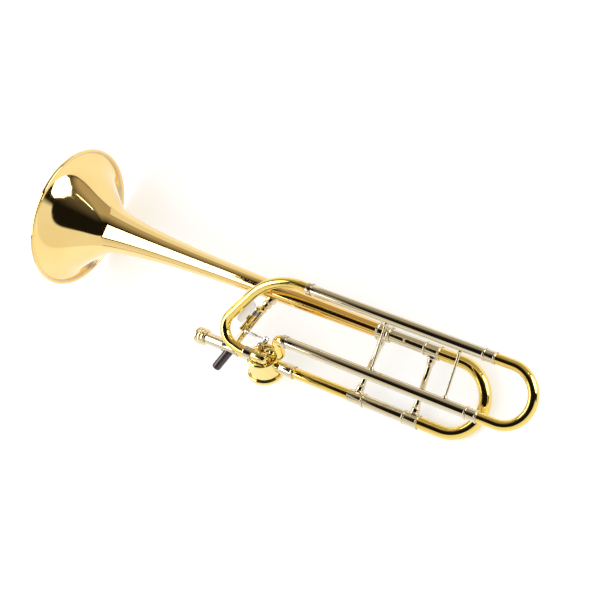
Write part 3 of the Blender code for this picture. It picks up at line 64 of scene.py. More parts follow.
# Horn frame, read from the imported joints: origin at the bell rim, X along the tubes
MAIN_SEAM = 630 * MM
VALVE_TILT = math.radians(46.2)
JOINTS = {joint["name"]: joint for joint in frame["joints"]}
ALONG = Vector(JOINTS["main_tuning_slide"]["axis"]).normalized()
UP = Vector(JOINTS["rotor_turn"]["axis"]).normalized()
FRONT = ALONG.cross(UP)
HORN_Y = math.cos(VALVE_TILT) * UP - math.sin(VALVE_TILT) * FRONT
HORN_Z = math.sin(VALVE_TILT) * UP + math.cos(VALVE_TILT) * FRONT
RIM = Vector(JOINTS["main_tuning_slide"]["pos_m"]) - MAIN_SEAM * ALONG
HORN = Matrix.Translation(RIM) @ Matrix((ALONG, HORN_Y, HORN_Z)).transposed().to_4x4()

X_AXIS = Vector((1, 0, 0))
Z_AXIS = Vector((0, 0, 1))
ORIGIN = Vector((0, 0, 0))
VALVE_UP = Vector((0, math.cos(VALVE_TILT), math.sin(VALVE_TILT)))
VALVE_FRONT = Vector((0, -math.sin(VALVE_TILT), math.cos(VALVE_TILT)))
NECKPIPE = Vector((0, -100 * MM, 0))
F_UPPER = Vector((0, 25.7 * MM, 45.4 * MM))
F_LOWER = Vector((0, -56.4 * MM, 45.4 * MM))
BRACE_FOOT = NECKPIPE + 332 * MM * X_AXIS
BRACE_HEAD_X = 377.6 * MM
BRACE_HEAD = BRACE_HEAD_X * X_AXIS
BRACE_ALONG = (BRACE_HEAD - BRACE_FOOT).normalized()
VALVE_X = 390 * MM


def at_valve(x, rise, front):
    return NECKPIPE + x * X_AXIS + rise * VALVE_UP + front * VALVE_FRONT


def arm_direction(angle):
    return math.sin(angle) * X_AXIS - math.cos(angle) * VALVE_FRONT


def in_mm(*pairs):
    """Turned profile: (radius, height) pairs given in millimetres."""
    return [(radius * MM, height * MM) for radius, height in pairs]


VALVE_CENTRE = at_valve(VALVE_X, 0, 0)

# Bell profile
RIM_RADIUS = 107.95 * MM
BEAD_RADIUS = 2.6 * MM
STEM_END = 558 * MM
STEM_END_RADIUS = 10.7 * MM
BELL_WALL = 0.9 * MM
FLARE_START = 22.4 * MM
FLARE_POWER = -0.8
CROWN = 80 * MM


def bell_radius(x):
    near, far = FLARE_START ** FLARE_POWER, (STEM_END + FLARE_START) ** FLARE_POWER
    flare = ((x + FLARE_START) ** FLARE_POWER - far) / (near - far)
    share = min(x / CROWN, 1)
    return STEM_END_RADIUS + CROWN * share * (1 - share) ** 2 + (RIM_RADIUS - STEM_END_RADIUS) * flare


# Materials

STEM_TINT_REACH = (-0.11, 0.02)


def new_material(name):
    made = bpy.data.materials.new(name)
    made.use_nodes = True
    return made, made.node_tree.nodes, made.node_tree.links


def noise(nodes, links, coordinates, scale, detail, stretch=None):
    texture = nodes.new("ShaderNodeTexNoise")
    texture.inputs["Scale"].default_value = scale
    texture.inputs["Detail"].default_value = detail
    source = coordinates.outputs["Object"]
    if stretch:
        mapping = nodes.new("ShaderNodeMapping")
        mapping.inputs["Scale"].default_value = stretch
        links.new(source, mapping.inputs["Vector"])
        source = mapping.outputs["Vector"]
    links.new(source, texture.inputs["Vector"])
    return texture.outputs["Fac"]


def remap(nodes, links, value, low, high, start=0.3, stop=0.7):
    ramp = nodes.new("ShaderNodeMapRange")
    for key, number in (("From Min", start), ("From Max", stop), ("To Min", low), ("To Max", high)):
        ramp.inputs[key].default_value = number
    links.new(value, ramp.inputs["Value"])
    return ramp.outputs["Result"]


def mix_colours(nodes, links, factor, first, second):
    mix = nodes.new("ShaderNodeMix")
    mix.data_type = "RGBA"
    links.new(factor, mix.inputs["Factor"])
    for key, colour in (("A", first), ("B", second)):
        socket = [s for s in mix.inputs if s.name == key and s.type == "RGBA"][0]
        if isinstance(colour, tuple):
            socket.default_value = (*colour, 1)
        else:
            links.new(colour, socket)
    return [s for s in mix.outputs if s.type == "RGBA"][0]


def metal(name, colour, darker, rough, coat, grain=0.01 * MM, stretch=(12, 900, 900), stem=None):
    """Polished metal: cloudy tint, uneven polish and fine lines, with a deeper tint towards +X if asked."""
    made, nodes, links = new_material(name)
    shader = nodes["Principled BSDF"]
    shader.inputs["Metallic"].default_value = 1
    shader.inputs["Coat Weight"].default_value = coat
    shader.inputs["Coat Roughness"].default_value = 0.04
    coordinates = nodes.new("ShaderNodeTexCoord")
    cloud = noise(nodes, links, coordinates, 22, 3)
    tint = mix_colours(nodes, links, remap(nodes, links, cloud, 0, 1), colour, darker)
    if stem:
        split = nodes.new("ShaderNodeSeparateXYZ")
        links.new(coordinates.outputs["Object"], split.inputs["Vector"])
        along = remap(nodes, links, split.outputs["X"], 0, 1, *STEM_TINT_REACH)
        tint = mix_colours(nodes, links, along, tint, stem)
    links.new(tint, shader.inputs["Base Color"])
    smear = noise(nodes, links, coordinates, 130, 5)
    links.new(remap(nodes, links, smear, rough * 0.75, rough * 1.6), shader.inputs["Roughness"])
    lines = noise(nodes, links, coordinates, 1, 4, stretch)
    bump = nodes.new("ShaderNodeBump")
    bump.inputs["Strength"].default_value = 0.35
    bump.inputs["Distance"].default_value = grain
    links.new(lines, bump.inputs["Height"])
    links.new(bump.outputs["Normal"], shader.inputs["Normal"])
    return made


def plain(name, colour, darker, rough, coat, scale, grain):
    """Non-metal: mottled colour, uneven roughness and a fine bump."""
    made, nodes, links = new_material(name)
    shader = nodes["Principled BSDF"]
    shader.inputs["Coat Weight"].default_value = coat
    shader.inputs["Coat Roughness"].default_value = 0.12
    coordinates = nodes.new("ShaderNodeTexCoord")
    patches = noise(nodes, links, coordinates, scale, 6)
    tint = mix_colours(nodes, links, remap(nodes, links, patches, 0, 1), colour, darker)
    links.new(tint, shader.inputs["Base Color"])
    links.new(remap(nodes, links, patches, rough * 0.8, rough * 1.3), shader.inputs["Roughness"])
    bump = nodes.new("ShaderNodeBump")
    bump.inputs["Strength"].default_value = 0.5
    bump.inputs["Distance"].default_value = grain
    links.new(patches, bump.inputs["Height"])
    links.new(bump.outputs["Normal"], shader.inputs["Normal"])
    return made


EVEN = (300, 300, 300)
BELL_BRASS = metal("bell_brass", (0.90, 0.675, 0.285), (0.88, 0.63, 0.24), 0.055, 0.3, 0.004 * MM,
                   (40, 40, 40), (0.88, 0.575, 0.16))
BRASS = metal("tube_brass", (0.91, 0.695, 0.20), (0.87, 0.64, 0.16), 0.06, 0.3)
VALVE_BRASS = metal("valve_brass", (0.90, 0.735, 0.30), (0.86, 0.68, 0.25), 0.09, 0.3, stretch=EVEN)
NICKEL = metal("nickel_silver", (0.77, 0.695, 0.525), (0.73, 0.65, 0.475), 0.05, 0.1)
NUT_METAL = metal("lock_nut_metal", (0.82, 0.71, 0.45), (0.78, 0.66, 0.40), 0.08, 0.1, stretch=EVEN)
STEEL = metal("polished_steel", (0.66, 0.67, 0.69), (0.60, 0.61, 0.63), 0.12, 0, 0.02 * MM, (200, 200, 200))
SPRING = metal("spring_steel", (0.33, 0.33, 0.36), (0.25, 0.25, 0.28), 0.22, 0, 0.02 * MM, EVEN)
PEARL = plain("thumb_plate_pearl", (0.98, 0.985, 1.0), (0.93, 0.95, 1.0), 0.5, 0.2, 260, 0.02 * MM)
BLACK = plain("black_grip", (0.046, 0.022, 0.026), (0.018, 0.009, 0.011), 0.2, 0.3, 90, 0.03 * MM)
CORK = plain("bumper_cork", (0.52, 0.33, 0.17), (0.33, 0.19, 0.09), 0.8, 0, 900, 0.25 * MM)


# Mesh helpers

def add(name, body, look, parts, nodes=(), angle=32):
    """Piece built in the horn frame from (vertices, faces) parts, on a body and standing for CAD nodes."""
    verts, faces = [], []
    for more, corners in parts:
        base = len(verts)
        verts += more
        faces += [tuple(base + index for index in face) for face in corners]
    bm = bmesh.new()
    made = [bm.verts.new(HORN @ Vector(point)) for point in verts]
    for face in faces:
        bm.faces.new([made[index] for index in face])
    bmesh.ops.remove_doubles(bm, verts=bm.verts, dist=2e-7)
    bmesh.ops.recalc_face_normals(bm, faces=bm.faces)
    mesh = bpy.data.meshes.new(name)
    bm.to_mesh(mesh)
    bm.free()
    mesh.shade_smooth()
    mesh.set_sharp_from_angle(angle=math.radians(angle))
    mesh.materials.append(look)
    piece = bpy.data.objects.new(name, mesh)
    bpy.context.scene.collection.objects.link(piece)
    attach(piece, body)
    if nodes:
        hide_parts(*nodes)
    return piece


def rounded(profile, radius, closed):
    """Profile with each corner eased by up to the radius."""
    steps = 4
    points = [Vector((r, h)) for r, h in profile]
    count = len(points)
    eased = []
    for index, corner in enumerate(points):
        if not closed and index in (0, count - 1):
            eased.append(tuple(corner))
            continue
        before, after = points[index - 1], points[(index + 1) % count]
        arrive, leave = corner - before, after - corner
        if arrive.length < 1e-9 or leave.length < 1e-9 or arrive.angle(leave) < math.radians(12):
            eased.append(tuple(corner))
            continue
        reach = min(radius, 0.45 * arrive.length, 0.45 * leave.length)
        first, last = corner - arrive.normalized() * reach, corner + leave.normalized() * reach
        for step in range(steps + 1):
            t = step / steps
            eased.append(tuple((1 - t) ** 2 * first + 2 * t * (1 - t) * corner + t * t * last))
    return eased


def revolve(profile, origin, axis, sides=TUBE_SIDES, ease=0.35 * MM, closed=True):
    """Turned shape from (radius, height) pairs about an axis."""
    if ease:
        profile = rounded(profile, ease, closed)
    turn = Vector(axis).to_track_quat("Z", "Y").to_matrix()
    verts, rings = [], []
    for radius, height in profile:
        ring = []
        for side in range(1 if radius < 1e-7 else sides):
            angle = 2 * math.pi * side / sides
            local = Vector((radius * math.cos(angle), radius * math.sin(angle), height))
            ring.append(len(verts))
            verts.append(Vector(origin) + turn @ local)
        rings.append(ring)
    pairs = list(zip(rings, rings[1:]))
    if closed:
        pairs.append((rings[-1], rings[0]))
    faces = []
    for lower, upper in pairs:
        for side in range(sides):
            other = (side + 1) % sides
            corners = [lower[side % len(lower)], lower[other % len(lower)],
                       upper[other % len(upper)], upper[side % len(upper)]]
            corners = list(dict.fromkeys(corners))
            if len(corners) > 2:
                faces.append(tuple(corners))
    return verts, faces


def pipe(line, start, end, outer, wall=TUBE_WALL):
    inner, length = outer - wall, end - start
    profile = [(inner, 0), (outer, 0), (outer, length), (inner, length)]
    return revolve(profile, line + start * X_AXIS, X_AXIS, TUBE_SIDES, 0.25 * MM)


def rod(start, direction, length, radius):
    profile = [(0, 0), (radius, 0), (radius, length), (0, length)]
    return revolve(profile, start, direction, 16, 0.1 * MM, closed=False)


def ball(centre, radius):
    rings = 16
    turns = [math.pi * ring / rings for ring in range(1, rings)]
    profile = [(radius * math.sin(turn), -radius * math.cos(turn)) for turn in turns]
    return revolve([(0, -radius)] + profile + [(0, radius)], centre, Z_AXIS, 2 * rings, 0, closed=False)


def bands(loops, following_loops):
    """Quads between each loop of vertices and the one that follows it."""
    faces = []
    for ring, following in zip(loops, following_loops):
        for side in range(len(ring)):
            other = (side + 1) % len(ring)
            faces.append((ring[side], ring[other], following[other], following[side]))
    return faces


def fillet_path(points, radii):
    """Route through the points, its corners rounded to the radii."""
    route = [Vector(points[0])]
    for index, radius in enumerate(radii, start=1):
        before, corner, after = (Vector(points[index + k]) for k in (-1, 0, 1))
        arrive = (corner - before).normalized()
        leave = (after - corner).normalized()
        turn = arrive.angle(leave)
        reach = radius * math.tan(turn / 2)
        start = corner - arrive * reach
        side = (leave - arrive * arrive.dot(leave)).normalized()
        steps = max(4, math.ceil(turn / ARC_STEP))
        for step in range(steps + 1):
            angle = turn * step / steps
            route.append(start + arrive * radius * math.sin(angle)
                         + side * radius * (1 - math.cos(angle)))
    route.append(Vector(points[-1]))
    return route


def sweep(route, outer):
    """Tube along a route."""
    last = len(route) - 1
    tangents = []
    for index in range(last + 1):
        tangents.append((route[min(index + 1, last)] - route[max(index - 1, 0)]).normalized())
    normal = (Z_AXIS - tangents[0] * Z_AXIS.dot(tangents[0])).normalized()
    verts, outside, inside = [], [], []
    for point, tangent in zip(route, tangents):
        normal = (normal - tangent * normal.dot(tangent)).normalized()
        across = tangent.cross(normal)
        for radius, rings in ((outer, outside), (outer - TUBE_WALL, inside)):
            ring = []
            for side in range(TUBE_SIDES):
                angle = 2 * math.pi * side / TUBE_SIDES
                ring.append(len(verts))
                verts.append(point + radius * (math.cos(angle) * normal + math.sin(angle) * across))
            rings.append(ring)
    loops = outside + inside[::-1]
    return verts, bands(loops, loops[1:] + loops[:1])


def plate(outline, origin, axes, thickness, ease):
    """Flat plate with eased edges: the outline in two axes, its thickness along the third."""
    steps = 3
    first, second, third = axes
    points = [Vector(point) for point in outline]
    area = sum(a.x * b.y - b.x * a.y for a, b in zip(points, points[1:] + points[:1]))
    if area < 0:
        points.reverse()
    ease = min(ease, thickness * 0.45)
    verts, loops = [], []
    shares = [1 - step / steps for step in range(steps + 1)]
    rows = [(ease * share, ease * (1 - math.sqrt(1 - share ** 2))) for share in shares]
    rows += [(inset, thickness - height) for inset, height in reversed(rows)]
    for inset, height in rows:
        ring = []
        for index, point in enumerate(points):
            before, after = points[index - 1], points[(index + 1) % len(points)]
            tangent = (after - before).normalized()
            inward = Vector((-tangent.y, tangent.x))
            moved = point + inward * inset
            ring.append(len(verts))
            verts.append(origin + moved.x * first + moved.y * second + height * third)
        loops.append(ring)
    return verts, [tuple(loops[0]), tuple(loops[-1])] + bands(loops, loops[1:])


def slot_outline(length, half_width):
    """Straight bar with round ends."""
    steps = 14
    outline = []
    for centre, start in ((0, math.pi / 2), (length, -math.pi / 2)):
        for step in range(steps + 1):
            angle = start + math.pi * step / steps
            outline.append((centre + half_width * math.cos(angle), half_width * math.sin(angle)))
    return outline


def bead(inner, outer, height, length):
    """Round-topped ring on a sleeve."""
    steps = 10
    profile = [(inner, 0)]
    for step in range(steps + 1):
        angle = math.pi * step / steps
        profile.append((outer + height * math.sin(angle) ** 0.6, length * (1 - math.cos(angle)) / 2))
    profile.append((inner, length))
    return profile


def circle(radius, height, thickness, steps):
    """Profile of a wire ring."""
    turns = [2 * math.pi * step / steps for step in range(steps)]
    return [(radius + thickness * math.cos(turn), height + thickness * math.sin(turn)) for turn in turns]


# Bell

def build_bell():
    start, count, crowding = 1.5 * MM, 150, 2.2
    stations = [start + (STEM_END - start) * (step / count) ** crowding for step in range(count + 1)]
    outside = [(bell_radius(x), x) for x in stations]
    inside = [(bell_radius(x) - BELL_WALL, x) for x in reversed(stations)]
    wire = circle(RIM_RADIUS - BEAD_RADIUS, BEAD_RADIUS, BEAD_RADIUS, 24)
    parts = [revolve(profile, ORIGIN, X_AXIS, BELL_SIDES, 0) for profile in (outside + inside, wire)]
    add("bell_and_rim", "horn", BELL_BRASS, parts, ("bell", "bell_rim_wire"), 40)
    # Grey steel ring just inside the rim wire: painted shadow line where the bead meets the bell sheet,
    # standing in for that shade rather than a real part
    painted_shadow = circle(102.7 * MM, 2.5 * MM, 0.9 * MM, 12)
    add("rim_painted_shadow_line", "horn", STEEL, [revolve(painted_shadow, ORIGIN, X_AXIS, BELL_SIDES, 0)])


def build_stem_patch():
    """Curved shield on the stem, pointed at both ends, its edge thinned."""
    rows, columns = 48, 40
    start, end, widest = 353 * MM, 415 * MM, 0.4
    reach, point = math.radians(62), 0.06
    thinned, thinning = 0.14, 0.35 * MM
    facing = -math.pi / 2
    verts, grids = [], []
    for lift in (GAP, GAP + TUBE_WALL):
        grid = []
        for row in range(rows + 1):
            share = row / rows
            x = start + (end - start) * share
            rising = share / widest if share < widest else (1 - share) / (1 - widest)
            half = reach * (point + (1 - point) * math.sin(rising * math.pi / 2))
            line = []
            for column in range(columns + 1):
                side = 2 * column / columns - 1
                edge = max(abs(side), abs(2 * share - 1) ** 3)
                drop = thinning * max(0, (edge - 1 + thinned) / thinned) ** 2 if lift > GAP else 0
                angle = facing + half * side
                radius = bell_radius(x) + lift - drop
                line.append(len(verts))
                verts.append(Vector((x, radius * math.cos(angle), radius * math.sin(angle))))
            grid.append(line)
        grids.append(grid)
    under, over = grids
    faces = []
    for grid in grids:
        for row in range(rows):
            for column in range(columns):
                faces.append((grid[row][column], grid[row][column + 1],
                              grid[row + 1][column + 1], grid[row + 1][column]))
    rim = [(0, c, 0, c + 1) for c in range(columns)] + [(rows, c, rows, c + 1) for c in range(columns)]
    rim += [(r, 0, r + 1, 0) for r in range(rows)] + [(r, columns, r + 1, columns) for r in range(rows)]
    faces += [(under[a][b], under[c][d], over[c][d], over[a][b]) for a, b, c, d in rim]
    add("stem_shield", "horn", NICKEL, [(verts, faces)], ("stem_patch",))


# Main tubes and tuning slide

SLEEVE_UPPER = 9.5 * MM
SLEEVE_LOWER = 9.1 * MM
BOW_RADIUS = 9.0 * MM
RING = 1.3 * MM
RING_LENGTH = 3 * MM
LEG_INSET = 1.1 * MM
BRACE_RADIUS = 4.2 * MM
SOCKET_LENGTH = 13 * MM


def sleeve(name, node, line, start, seam, radius):
    add(name, "horn", NICKEL, [pipe(line, start, seam, radius)], (node,))
    ring = bead(radius + 0.02 * MM, radius + 0.3 * MM, RING - 0.1 * MM, RING_LENGTH)
    end = line + (seam - RING_LENGTH) * X_AXIS
    add(name + "_end_ring", "horn", NICKEL, [revolve(ring, end, X_AXIS, TUBE_SIDES, 0)], (node + "_ring",))


def build_main_sleeves():
    start, end, step = 551 * MM, 21 * MM, 7.3 * MM
    bore, narrow = bell_radius(start) + GAP, SLEEVE_UPPER + GAP
    outer, tail = bore + 1.0 * MM, narrow + 1.0 * MM
    profile = [(bore, 0), (outer + 0.4 * MM, 0), (outer + RING, 0.7 * MM), (outer + RING, 2.3 * MM),
               (outer + 0.2 * MM, 3.2 * MM), (outer, 4 * MM), (outer, 12.5 * MM), (tail, 16.5 * MM),
               (tail + 0.3 * MM, 17.6 * MM), (tail + RING, 18.2 * MM), (tail + RING, 20.3 * MM),
               (tail + 0.3 * MM, end), (narrow, end), (narrow, step), (bore, step)]
    add("bell_stem_collar", "horn", NICKEL, [revolve(profile, start * X_AXIS, X_AXIS)], ("stem_collar",))
    sleeve("upper_outer_slide", "main_upper_sleeve", ORIGIN, 552 * MM, MAIN_SEAM, SLEEVE_UPPER)
    sleeve("lower_outer_slide", "main_lower_sleeve", NECKPIPE, 563.3 * MM, MAIN_SEAM, SLEEVE_LOWER)


def slide_ferrule(name, node, body, line, seam, length, joint, leg, bow, wall):
    """Ferrule from a slide's leg to its bow, with a raised end."""
    outer = bow + GAP + wall
    top = outer + wall
    end = length - GAP
    rise = end - RING_LENGTH
    stop = joint - seam - GAP
    profile = [(leg + GAP, 0), (outer, 0), (outer, rise), (outer + 0.15 * MM, rise + 0.3 * MM),
               (top, rise + 0.9 * MM), (top, end - 0.8 * MM), (outer, end), (bow + GAP, end),
               (bow + GAP, stop), (leg + GAP, stop)]
    add(name, body, NICKEL, [revolve(profile, line + (seam + GAP) * X_AXIS, X_AXIS)], (node,))


def bow_route(first, second, start, end, radius):
    """Half circle between two straight runs."""
    bend = (first - second).length / 2
    centre_x = end - radius - bend
    middle = (first + second) / 2
    outward = (first - second).normalized()
    route = [first + start * X_AXIS]
    steps = round(math.pi / ARC_STEP)
    for step in range(steps + 1):
        angle = math.pi * step / steps
        route.append(middle + centre_x * X_AXIS
                     + bend * (math.cos(angle) * outward + math.sin(angle) * X_AXIS))
    route.append(second + start * X_AXIS)
    return route


def socket_brace(name, node, body, first, second, foot, reach):
    """Turned brace, its ends swelling into flanged sockets on the tubes."""
    radius, length = BRACE_RADIUS, SOCKET_LENGTH
    span = (second - first).length
    end = []
    for r, h in ((0, 0), (foot + 1.4 * MM, 0), (foot + 1.4 * MM, 1.6 * MM), (foot + 0.3 * MM, 2.4 * MM),
                 (foot, 3.2 * MM), (foot, length * 0.42), (radius * 1.35, length * 0.62),
                 (radius * 1.12, length * 0.8), (radius + 0.9 * MM, length * 0.86),
                 (radius + 0.9 * MM, length * 0.95), (radius, length)):
        end.append((r, reach - 1.2 * MM + h))
    profile = end + [(r, span - h) for r, h in reversed(end)]
    add(name, body, NICKEL, [revolve(profile, first, second - first, 48, 0.5 * MM, closed=False)], (node,))


def build_main_slide():
    start, end = MAIN_SEAM + 10 * MM, 744.8 * MM
    wall = 0.9 * MM
    for side, line, sleeve_radius in (("upper", ORIGIN, SLEEVE_UPPER), ("lower", NECKPIPE, SLEEVE_LOWER)):
        leg = sleeve_radius - LEG_INSET
        add("main_slide_leg_" + side, "main_slide", NICKEL,
            [pipe(line, MAIN_SEAM - 55 * MM, start - GAP, leg)], ("main_inner_leg_" + side,))
        slide_ferrule("main_slide_ferrule_" + side, "main_bow_ferrule_" + side, "main_slide", line,
                      MAIN_SEAM, 22 * MM, start, leg, BOW_RADIUS, wall)
    add("main_slide_bow", "main_slide", BRASS,
        [sweep(bow_route(ORIGIN, NECKPIPE, start, end, BOW_RADIUS), BOW_RADIUS)], ("main_tuning_bow",))
    centre = 641 * MM * X_AXIS
    socket_brace("slide_cross_brace", "main_slide_brace", "main_slide", centre, centre + NECKPIPE, 6.2 * MM,
                 BOW_RADIUS + GAP + wall)


# Neckpipe, receiver and gooseneck

PIPE_RADIUS = 8.2 * MM
PIPE_WALL = 0.9 * MM
PIPE_BORE = PIPE_RADIUS + GAP


def build_neckpipe():
    add("neck_tube", "horn", BRASS, [pipe(NECKPIPE, 326.5 * MM, 361.7 * MM, PIPE_RADIUS, PIPE_WALL)],
        ("neckpipe",))
    profile = in_mm((6.4, 0), (7.6, 0), (7.6, 18.5), (9.1, 19.2), (9.1, 46), (9.9, 46.6), (9.9, 50.4),
                    (9.1, 51), (9.1, 73), (9.6, 73.6), (9.6, 76.4), (9.2, 77))
    profile += [(PIPE_BORE, 77 * MM), (PIPE_BORE, 56.7 * MM), (6.4 * MM, 56.7 * MM)]
    add("receiver_tube", "horn", NICKEL, [revolve(profile, NECKPIPE + 269.5 * MM * X_AXIS, X_AXIS)],
        ("slide_receiver",))


def build_lock_nut():
    """Three round ridges, the middle one knurled."""
    length, ridges, sides, steps = 17 * MM, 3, 120, 8
    pitch = length / ridges
    inner, groove, top, tooth_height = 8.1 * MM, 10.9 * MM, 12.4 * MM, 0.22 * MM
    verts, rings = [], []
    profile = [(inner, 0, 0)]
    for ridge in range(ridges):
        for step in range(steps + 1):
            share = step / steps
            bulge = math.sin(math.pi * share) ** 0.45
            profile.append((groove + (top - groove) * bulge, (ridge + 0.03 + 0.94 * share) * pitch,
                            bulge if ridge == 1 else 0))
    profile.append((inner, length, 0))
    turn = X_AXIS.to_track_quat("Z", "Y").to_matrix()
    for radius, height, knurl in profile:
        ring = []
        for side in range(sides):
            angle = 2 * math.pi * side / sides
            tooth = tooth_height * knurl * (1 if side % 4 < 2 else -1)
            ring.append(len(verts))
            local = Vector(((radius + tooth) * math.cos(angle), (radius + tooth) * math.sin(angle), height))
            verts.append(NECKPIPE + 270 * MM * X_AXIS + turn @ local)
        rings.append(ring)
    add("receiver_lock_nut", "lock_nut", NUT_METAL, [(verts, bands(rings, rings[1:] + rings[:1]))],
        ("slide_lock_nut",))


def build_gooseneck():
    add("gooseneck_tube", "horn", BRASS, [pipe(NECKPIPE, 440 * MM, 558 * MM, PIPE_RADIUS, PIPE_WALL)],
        ("gooseneck",))
    outer = SLEEVE_LOWER + GAP
    profile = [(PIPE_BORE, 0), (outer, 0), (outer, 22.5 * MM), (outer + 0.3 * MM, 23 * MM),
               (outer + RING, 23.7 * MM), (outer + RING, 25.4 * MM), (outer + 0.4 * MM, 26 * MM),
               (PIPE_BORE, 26 * MM)]
    add("gooseneck_ferrule", "horn", NICKEL, [revolve(profile, NECKPIPE + 537 * MM * X_AXIS, X_AXIS)],
        ("gooseneck_end_ferrule",))
    wide = 9.2 * MM
    profile = [(wide, 0), (wide + 0.8 * MM, 0), (wide + 0.8 * MM, 19.5 * MM), (wide + 1.2 * MM, 20.2 * MM),
               (wide + 1.3 * MM, 21.5 * MM), (wide + 1.2 * MM, 22.6 * MM), (wide + 0.5 * MM, 23 * MM),
               (PIPE_BORE, 23 * MM), (PIPE_BORE, 5.3 * MM), (wide, 5.3 * MM)]
    add("outlet_ferrule", "horn", NICKEL, [revolve(profile, NECKPIPE + 421 * MM * X_AXIS, X_AXIS)],
        ("valve_outlet_ferrule",))


# Valve

BOSS_RISE = 21.5 * MM
LARGE_CROOK_FRONT = 12.2 * MM
RETURN_CROOK_FRONT = -3 * MM
ARM_LENGTH = 9.7 * MM
ARM_SWING = math.radians(30)


def valve_turned(profile, sides, ease=0.4 * MM, closed=True):
    return revolve(profile, VALVE_CENTRE, VALVE_UP, sides, ease, closed)


def dome_corner(radius, length, dome):
    """Rounded end of a boss."""
    steps = 10
    turns = [math.pi / 2 * step / steps for step in range(steps + 1)]
    return [(radius - dome * (1 - math.cos(turn)), length - dome * (1 - math.sin(turn))) for turn in turns]


def build_valve():
    """Drum with its tube stubs, and two bosses that stand on it, each on a foot."""
    casing = in_mm((2.7, 12.5), (19.5, 12.5), (22.2, 12.1), (23.8, 10.9), (24.2, 9.4), (24.2, -21.3),
                   (19, -21.3), (19, 9.5), (2.7, 9.5))
    parts = [valve_turned(casing, 96)]
    for start, end in ((362 * MM, 372.5 * MM), (407.5 * MM, 426 * MM)):
        inner, outer, length = 6.9 * MM, 8.9 * MM, end - start
        stub = [(inner, 0), (outer, 0), (outer, length), (inner, length)]
        parts.append(revolve(stub, at_valve(start, 0, 0), X_AXIS, 48, 0.4 * MM))
    inner, outer = 6.4 * MM, 8.3 * MM
    for open_end, direction, length, depth, dome, front in (
            (384 * MM, 1, 24 * MM, 14 * MM, 7 * MM, LARGE_CROOK_FRONT),
            (411 * MM, -1, 7 * MM, 4 * MM, 2 * MM, RETURN_CROOK_FRONT)):
        boss = [(inner, 0), (outer, 0)] + dome_corner(outer, length, dome)
        boss += [(0, length), (0, depth), (inner, depth)]
        parts.append(revolve(boss, at_valve(open_end, BOSS_RISE, front), direction * X_AXIS, 48, 0.3 * MM))
    for start, end, front in ((384 * MM, 408 * MM, LARGE_CROOK_FRONT),
                              (404 * MM, 411 * MM, RETURN_CROOK_FRONT)):
        first, last = start + 1.5 * MM - VALVE_X, end - 1.5 * MM - VALVE_X
        near, far = front - 5.5 * MM, front + 5.5 * MM
        outline = [(first, near), (last, near), (last, far), (first, far)]
        parts.append(plate(outline, VALVE_CENTRE + 11 * MM * VALVE_UP, (X_AXIS, VALVE_FRONT, VALVE_UP),
                           4.5 * MM, 0.4 * MM))
    add("rotor_casing", "horn", VALVE_BRASS, parts, ("valve_casing",))
    cap = in_mm((0, -24), (5, -24), (5.5, -23.6), (22, -23.6), (22.6, -24), (26.3, -24), (27.2, -23.5),
                (27.5, -22.6), (27.5, -20.4), (27.0, -18.7), (26.0, -17.6), (24.5, -17.3), (24.5, -21.6),
                (0, -21.6))
    add("casing_cap", "horn", VALVE_BRASS, [valve_turned(cap, 96, 0.25 * MM, closed=False)], ("valve_cap",))
    bearing = in_mm((2.6, -21), (18.6, -21), (18.6, -17.8), (2.6, -17.8))
    add("bearing_plate", "horn", VALVE_BRASS, [valve_turned(bearing, 48)], ("valve_bearing_plate",))


def build_rotor():
    """Rotor with its spindles, and on the upper one the arm: hub, blade, stop lug and ball stud."""
    rotor = in_mm((0, -20.7), (2.2, -20.7), (2.2, -17.5), (18.6, -17.5), (18.6, 9), (2.2, 9), (2.2, 35),
                  (0, 35))
    add("rotor_body", "rotor", VALVE_BRASS, [valve_turned(rotor, 48, 0.3 * MM, closed=False)],
        ("valve_rotor",))
    hub = in_mm((2.5, 12.9), (3.3, 12.9), (3.3, 29.2), (4.6, 30.5), (4.6, 35), (2.5, 35))
    parts = [valve_turned(hub, 40, 0.4 * MM)]
    along = arm_direction(ARM_SWING)
    axes = (along, VALVE_UP.cross(along), VALVE_UP)
    start = 5.2 * MM
    parts.append(plate(slot_outline(ARM_LENGTH - start, 2.4 * MM),
                       VALVE_CENTRE + 32.6 * MM * VALVE_UP + start * along, axes, 2.3 * MM, 0.5 * MM))
    lug = in_mm((0, -2), (9.2, -2), (9.2, 2), (0, 2))
    parts.append(plate(lug, VALVE_CENTRE + 16.4 * MM * VALVE_UP + 2.8 * MM * along, axes,
                       3.6 * MM, 0.5 * MM))
    arm_ball = at_valve(VALVE_X, 39 * MM, 0) + ARM_LENGTH * along
    stud = 5.4 * MM
    parts.append(rod(arm_ball - stud * VALVE_UP, VALVE_UP, stud, 0.9 * MM))
    parts.append(ball(arm_ball, 2.2 * MM))
    add("rotor_arm", "rotor", VALVE_BRASS, parts, ("stop_arm",))
    head = in_mm((0, 35.3), (3.4, 35.3), (3.4, 36.2), (2.3, 36.9), (0, 36.9))
    add("rotor_arm_screw", "rotor", STEEL, [valve_turned(head, 40, 0.4 * MM, closed=False)],
        ("stop_arm_screw",))


# F attachment

F_SLEEVE = 8.1 * MM
F_TUBE = 7.6 * MM
F_SEAM = 734.5 * MM
F_UPPER_START = 452 * MM
F_LOWER_START = 438 * MM


